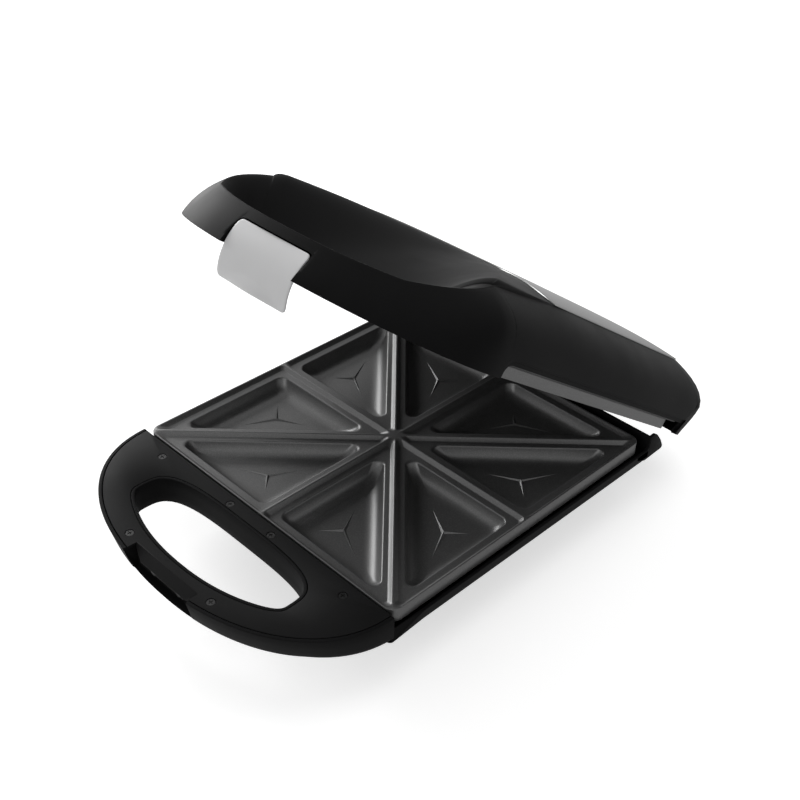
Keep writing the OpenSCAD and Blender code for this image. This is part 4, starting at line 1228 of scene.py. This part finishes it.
        return low_edge + walls + tops + scoops + tube + under + [end]

    def build(self, name: str, place: Matrix) -> bpy.types.Object:
        """Makes the lid's dressed object."""
        skin = Skin()
        skin.grid(mirrored([self.ring(s) for s in self.stations()]), looped=True)
        return HOUSING.dress(skin.build(name, place, 50.0))


@dataclass
class TopPanel:
    """The brushed steel sheet over the lid's crown."""

    lid: LidSkin
    gap: float = 0.15
    thickness: float = 0.9
    columns: int = 71
    rows: int = 45

    def front(self, x: float) -> float:
        """Returns the panel's front edge at x."""
        share = min(1.0, abs(x) / self.lid.crown_half)
        return -52 + 64 * math.cos(math.radians(90 * share)) ** 2

    def rear(self, x: float, half: float) -> float:
        """Returns the panel's back edge at x, with rounded corners."""
        r = 15.0
        over = abs(x) - half + r
        end = self.lid.crown_rear - 0.6 - r
        return end + (math.sqrt(max(0.0, r * r - over * over)) if over > 0 else r)

    def sheet(self, inset: float, lift: float) -> list[list[Point]]:
        """Returns the panel's grid of points, drawn in by inset and raised by lift."""
        half = self.lid.crown_half - 0.4
        grid = []
        for j in range(self.rows):
            row = []
            for i in range(self.columns):
                a = -90 + 180 * i / (self.columns - 1)
                x0 = half * (0.35 * a / 90 + 0.65 * math.sin(math.radians(a)))
                x = x0 * (half - inset) / half
                y = mix(self.front(x0) + inset * 1.2, self.rear(x0, half) - inset, j / (self.rows - 1))
                row.append((x, y, self.lid.crown(x0, y) + lift))
            grid.append(row)
        return grid

    def build(self, name: str, place: Matrix) -> bpy.types.Object:
        """Makes the panel's dressed object."""
        skin = Skin()
        top = self.gap + self.thickness
        layers = [self.sheet(0.3, self.gap), self.sheet(0.0, self.gap + 0.1), self.sheet(0.0, top - 0.3),
                  self.sheet(0.12, top - 0.08), self.sheet(0.4, top)]
        skin.sheet(layers)
        return PANEL.dress(skin.build(name, place, 30.0))


@dataclass
class Latch:
    """The bowed spring latch with a finger lip at its lower end."""

    half: float = 31.0
    bow: float = 36.4
    bow_y: float = -125 - 86.2 + 41.3
    low: float = -18.5
    high: float = 18.4
    thick: float = 1.5
    corner: float = 3.0
    pin: Pair = (-199.4, 14.5)

    def face(self, x: float, z: float, off: float) -> Point:
        """Returns a point of the bowed face, drawn in by off, with the finger lip at the bottom."""
        r = self.bow - off
        a = math.asin(max(-0.99, min(0.99, z / self.bow)))
        y, zz = self.bow_y - r * math.cos(a), r * math.sin(a)
        reach = 9.5 * (1 - (x / 27.5) ** 2)
        below = self.low + reach - z
        if reach > 0 and below > 0:
            y -= 2.4 * (1 - (x / 27.5) ** 2) * (below / 9.5) ** 1.1
        return x, y, zz

    def outline_scale(self, inset: float, columns: int, rows: int) -> list[list[Pair]]:
        """Returns a grid of face places whose outer corners are rounded."""
        w, z0, z1 = self.half - inset, self.low + inset, self.high - inset
        r = self.corner - inset
        grid = []
        for j in range(rows):
            v = j / (rows - 1)
            row = []
            for i in range(columns):
                x = -w + 2 * w * i / (columns - 1)
                over = max(0.0, abs(x) - (w - r))
                cut_in = r - math.sqrt(max(0.0, r * r - over * over))
                row.append((x, mix(z0 + cut_in, z1 - cut_in, v)))
            grid.append(row)
        return grid

    def build(self, name: str, place: Matrix) -> bpy.types.Object:
        """Makes the latch's dressed object."""
        skin = Skin()
        columns, rows = 63, 41
        layers = []
        edge = ((0.5, self.thick), (0.0, self.thick - 0.4), (0.0, 0.45), (0.14, 0.13), (0.45, 0.0))
        for inset, off in edge:
            places = self.outline_scale(inset, columns, rows)
            layers.append([[self.face(x, z, off) for x, z in row] for row in places])
        skin.sheet(layers)
        return SILVER.dress(skin.build(name, place, 40.0))

    def hook(self, name: str, place: Matrix, seat: float) -> bpy.types.Object:
        """Makes the hook behind the face that grips under the catch."""
        back = ((4.9, -10.9), (1.8, -10.7), (1.8, -11.4), (3.4, -14.0), (4.0, -14.0))
        profile = [(seat - y, z) for y, z in back]
        return SILVER.dress(soft_slab(name, profile, -8.5, 8.5, 0.12, place))

    def barrel(self, name: str, place: Matrix, side: int) -> bpy.types.Object:
        """Makes one barrel on the pin behind the face, with its web.

        Args:
            name: The piece's name.
            place: Carries the lid into the frame.
            side: -1 for the left barrel, 1 for the right.
        """
        skin = Skin()
        y, z = self.pin
        turns = spread(-0.81, math.tau - 2.33, 25)
        outer = [(y + 1.9 * math.sin(a), z + 1.9 * math.cos(a)) for a in turns]
        outer += [(y - 3.1, z - 1.3), (y - 3.1, z + 1.3)]
        inner = [(y + 1.05 * math.sin(a), z + 1.05 * math.cos(a)) for a in turns]
        inner += [(y - 1.05, z - 0.1), (y - 1.05, z + 0.1)]
        a, b = sorted((side * 4.2, side * 24.0))
        rings = ((a, inner), (a, outer), (b, outer), (b, inner))
        skin.grid([[(x, *at) for at in ring] for x, ring in rings], looped=True)
        return SILVER.dress(skin.build(name, place, 30.0))


# Small parts


@dataclass
class SmallParts:
    """Feet and hinge arms, with rounded edges."""

    place: Place
    foot_radius: float = 8.0
    foot_low: float = -64.0
    foot_high: float = -60.0

    def foot(self, name: str, x: float, y: float) -> bpy.types.Object:
        """Makes a turned rubber foot at a plan place."""
        r = self.foot_radius
        high, low = self.foot_high, self.foot_low
        profile = [(1.7, high), (r - 0.6, high), (r, high - 0.6), (r - 0.3, low + 1.0), (r - 1.2, low)]
        profile += [(4.4, low), (4.0, low + 0.4), (4.0, low + 2), (1.7, low + 2)]
        skin = Skin()
        skin.grid([circle(x, y, z, q, 48) for q, z in profile], looped=True)
        return RUBBER.dress(skin.build(name, self.place.base()))

    def arm(self, name: str, side: int) -> bpy.types.Object:
        """Makes one hinge arm.

        Args:
            name: The piece's name.
            side: -1 for the left arm, 1 for the right.
        """
        y, z, q, top = self.place.hinge_y, self.place.hinge_z, 135.0, 10.2
        round_end = [(y - 7.5 * math.sin(a), z - 7.5 * math.cos(a)) for a in spread(0.0, math.pi, 13)]
        profile = [(y + 12, z - 2), (q + 14, -30.0), (q + 14, -8.0), (q + 12.4, 3.0), (q + 21, 22.0)]
        profile += [(q + 12, 26.0), (q + 2.2, top + 3), (126.0, top + 3), (126.0, top), (q + 2.2, top)]
        profile += [(q + 2.2, -22.0), (q - 1, z + 10), *reversed(round_end)]
        a, b = sorted((side * 46.0, side * 58.0))
        return PAINT.dress(soft_slab(name, profile, a, b, 0.8, self.place.lid()))


# Studio


@dataclass
class Studio:
    """Camera, lamps, floor and world."""

    focal: float = 53.67
    azimuth: float = 44.44
    elevation: float = 35.6
    roll: float = 1.56
    distance: float = 855.84
    slide: Pair = (3.3, 24.95)
    aim: float = 0.12

    def camera(self, place: Place) -> None:
        """Sets the camera at the photograph's viewing angle."""
        az, el, roll = (math.radians(v) for v in (self.azimuth, self.elevation, self.roll))
        back = Vector((math.sin(az) * math.cos(el), -math.cos(az) * math.cos(el), math.sin(el)))
        right = (-back).cross(Vector((0, 0, 1))).normalized()
        up = right.cross(-back)
        across = right * math.cos(roll) + up * math.sin(roll)
        upward = up * math.cos(roll) - right * math.sin(roll)
        eye = across * self.slide[0] + upward * self.slide[1] + back * self.distance
        eye += Vector((0, place.shift, place.rim))
        data = bpy.data.cameras.new("camera")
        data.lens, data.sensor_width, data.clip_start, data.clip_end = self.focal, 36.0, 0.02, 30.0
        thing = linked("camera", data)
        turned = Matrix((across, upward, back)).transposed().to_4x4()
        thing.matrix_world = Matrix.Translation(eye * MM) @ turned
        bpy.context.scene.camera = thing

    def lamp(self, name: str, at: Point, size: float, watts: float) -> None:
        """Hangs a square soft lamp that looks at the toaster."""
        data = bpy.data.lights.new(name, "AREA")
        data.shape, data.size, data.energy = "SQUARE", size, watts
        thing = linked(name, data)
        thing.location = at
        thing.rotation_mode = "QUATERNION"
        thing.rotation_quaternion = (Vector((0, 0, self.aim)) - Vector(at)).to_track_quat("-Z", "Y")

    def seen(self, tree: bpy.types.ShaderNodeTree) -> bpy.types.NodeSocket:
        """Returns a socket of one for rays that the eye follows: straight, mirrored or passed through."""
        path = tree.nodes.new("ShaderNodeLightPath")
        socket = path.outputs["Is Camera Ray"]
        for kind in ("Is Glossy Ray", "Is Transmission Ray"):
            most = tree.nodes.new("ShaderNodeMath")
            most.operation = "MAXIMUM"
            tree.links.new(socket, most.inputs[0])
            tree.links.new(path.outputs[kind], most.inputs[1])
            socket = most.outputs[0]
        return socket

    def floor(self) -> None:
        """Lays a plain pale floor that looks white to the camera and keeps a soft shadow."""
        mesh = bpy.data.meshes.new("floor")
        s = 6.0
        mesh.from_pydata([(-s, -s, 0), (s, -s, 0), (s, s, 0), (-s, s, 0)], [], [(0, 1, 2, 3)])
        thing = linked("floor", mesh)
        made = bpy.data.materials.new("pale floor")
        made.use_nodes = True
        nodes, links = made.node_tree.nodes, made.node_tree.links
        shader = nodes["Principled BSDF"]
        shader.inputs["Base Color"].default_value = (0.8, 0.8, 0.8, 1)
        shader.inputs["Roughness"].default_value = 0.9
        shader.inputs["Specular IOR Level"].default_value = 0.1
        glow, total = nodes.new("ShaderNodeEmission"), nodes.new("ShaderNodeAddShader")
        seen = nodes.new("ShaderNodeMath")
        seen.operation = "MULTIPLY"
        seen.inputs[1].default_value = 0.62
        links.new(self.seen(made.node_tree), seen.inputs[0])
        links.new(seen.outputs[0], glow.inputs["Strength"])
        links.new(shader.outputs[0], total.inputs[0])
        links.new(glow.outputs[0], total.inputs[1])
        links.new(total.outputs[0], nodes["Material Output"].inputs["Surface"])
        mesh.materials.append(made)
        thing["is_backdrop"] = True

    def world(self) -> None:
        """Sets a world that is white to the camera and dim as a light."""
        world = bpy.data.worlds.new("studio")
        bpy.context.scene.world = world
        world.use_nodes = True
        nodes, links = world.node_tree.nodes, world.node_tree.links
        strength = nodes.new("ShaderNodeMapRange")
        strength.inputs["To Min"].default_value = 0.22
        strength.inputs["To Max"].default_value = 1.0
        links.new(self.seen(world.node_tree), strength.inputs["Value"])
        links.new(strength.outputs[0], nodes["Background"].inputs["Strength"])
        nodes["Background"].inputs["Color"].default_value = (1, 1, 1, 1)

    def set_up(self, place: Place) -> None:
        """Makes the whole studio."""
        bpy.context.scene.view_settings.view_transform = "Standard"
        self.camera(place)
        self.floor()
        self.world()
        self.lamp("key", (-1.75, 0.1, 0.55), 1.2, 38.0)
        self.lamp("top", (0.2, 0.5, 1.7), 1.3, 9.0)
        self.lamp("front", (0.3, -1.7, 0.8), 0.8, 6.0)


# Assembly


@dataclass(frozen=True)
class Dressing:
    """A CAD node that stays, and its finish."""

    node: str
    finish: Finish


KEPT = [
    *(
        Dressing(n, DARK_STEEL)
        # latch_catch takes the dark steel as painted shade for the shaded notch round it; the screws are dark
        # steel of their own.
        for n in ("base_cover_screws", "lid_cover_screws", "catch_screws", "latch_catch")
    ),
    *(
        Dressing(n, SCREW)
        for n in (
            "foot_screws", "lower_plate_screws", "upper_plate_screws", "arm_screws",
            "hinge_pin_left", "hinge_pin_right", "latch_pin", "latch_spring",
            "lower_element_clips", "upper_element_clips",
        )
    ),
    *(Dressing(n, SHEET) for n in ("lower_reflector", "upper_reflector")),
    *(Dressing(n, SHEATH) for n in ("lower_element", "upper_element")),
    *(Dressing(n, CERAMIC) for n in ("thermostat", "terminal_block", "thermal_fuse")),
    # lid_frame is painted black as painted shade for the dark gap above the lid's side strip.
    Dressing("base_wiring", SLEEVE), Dressing("cord_inlet", RUBBER), Dressing("lid_frame", PAINT),
    Dressing("base_bottom_cover", COVER), Dressing("latch_bracket", HOUSING),
]


def fit(thing: bpy.types.Object, body: str, slot: str, *nodes: str) -> bpy.types.Object:
    """Lets a piece ride on a body in place of CAD nodes.

    Args:
        thing: The piece.
        body: The body it rides on.
        slot: Not used.
        nodes: The CAD nodes it stands for.

    Returns:
        The piece.
    """
    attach(thing, body)
    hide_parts(*nodes)
    LOG.info("%s rides on %s for %s, %d faces", thing.name, body, ", ".join(nodes), len(thing.data.polygons))
    return thing


def main() -> None:
    """Builds every piece in turn, and then the studio."""
    logging.basicConfig(level=logging.INFO, format="%(message)s")
    place, plan = Place.from_frame(), Outline()
    lid, gap = LidSkin(plan), 0.8
    screws = [(93.0, -136.0), (21.0, -133.0), (42.5, -197.4)]

    for thing in BaseHousing(plan).build(place.base()):
        fit(thing, "base", "housing", "base_shell")
    cover = HandleCover(plan, -2.0, 0.0, plan.hole_half + 2.6, plan.hole_depth + 2.6)
    fit(cover.build("base_cover", place.base(), screws, 3.1, 1.7), "base", "housing", "base_handle_cover")
    nose = cover.nose("latch_nose", place.base())
    fit(COVER.dress(nose), "base", "housing", "base_handle_cover")
    fit(CookingPlate().build("lower_cooking_plate", place.base()), "base", "nonstick", "lower_plate")

    fit(lid.build("lid_dome", place.lid()), "lid", "housing", "lid_shell")
    fit(TopPanel(lid).build("steel_top", place.lid()), "lid", "brushed", "top_panel")
    cover = HandleCover(plan, gap, gap + 2.0, lid.hole_half + 2.6, lid.hole_depth + 2.6)
    fit(cover.build("lid_cover", place.lid(), screws, 0.0, 1.9), "lid", "housing", "lid_handle_cover")
    upper = CookingPlate(skirt=7.7).build("upper_cooking_plate", place.upper(gap + 0.2))
    fit(upper, "lid", "nonstick", "upper_plate")
    latch = Latch()
    fit(latch.build("latch_face", place.lid()), "latch", "latch", "latch")
    fit(latch.hook("latch_hook", place.lid(), -199.2), "latch", "latch", "latch")
    for word, side in (("left", -1), ("right", 1)):
        fit(latch.barrel(f"latch_barrel_{word}", place.lid(), side), "latch", "latch", "latch")

    parts = SmallParts(place)
    for word, side in (("left", -1), ("right", 1)):
        fit(parts.arm(f"arm_{word}", side), "lid", "painted", f"hinge_arm_{word}")
        for end in ("front", "back"):
            low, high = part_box(f"foot_{end}_{word}")
            middle = (low + high) / 2 / MM
            foot = parts.foot(f"rubber_foot_{end}_{word}", middle.x, middle.y - place.shift)
            fit(foot, "base", "rubber", f"foot_{end}_{word}")
    for kept in KEPT:
        kept.finish.dress(frame["nodes"][kept.node])
        LOG.info("%s keeps its solid, in %s", kept.node, kept.finish.name)

    Studio().set_up(place)
    low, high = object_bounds()


if __name__ == "__main__":
    main()
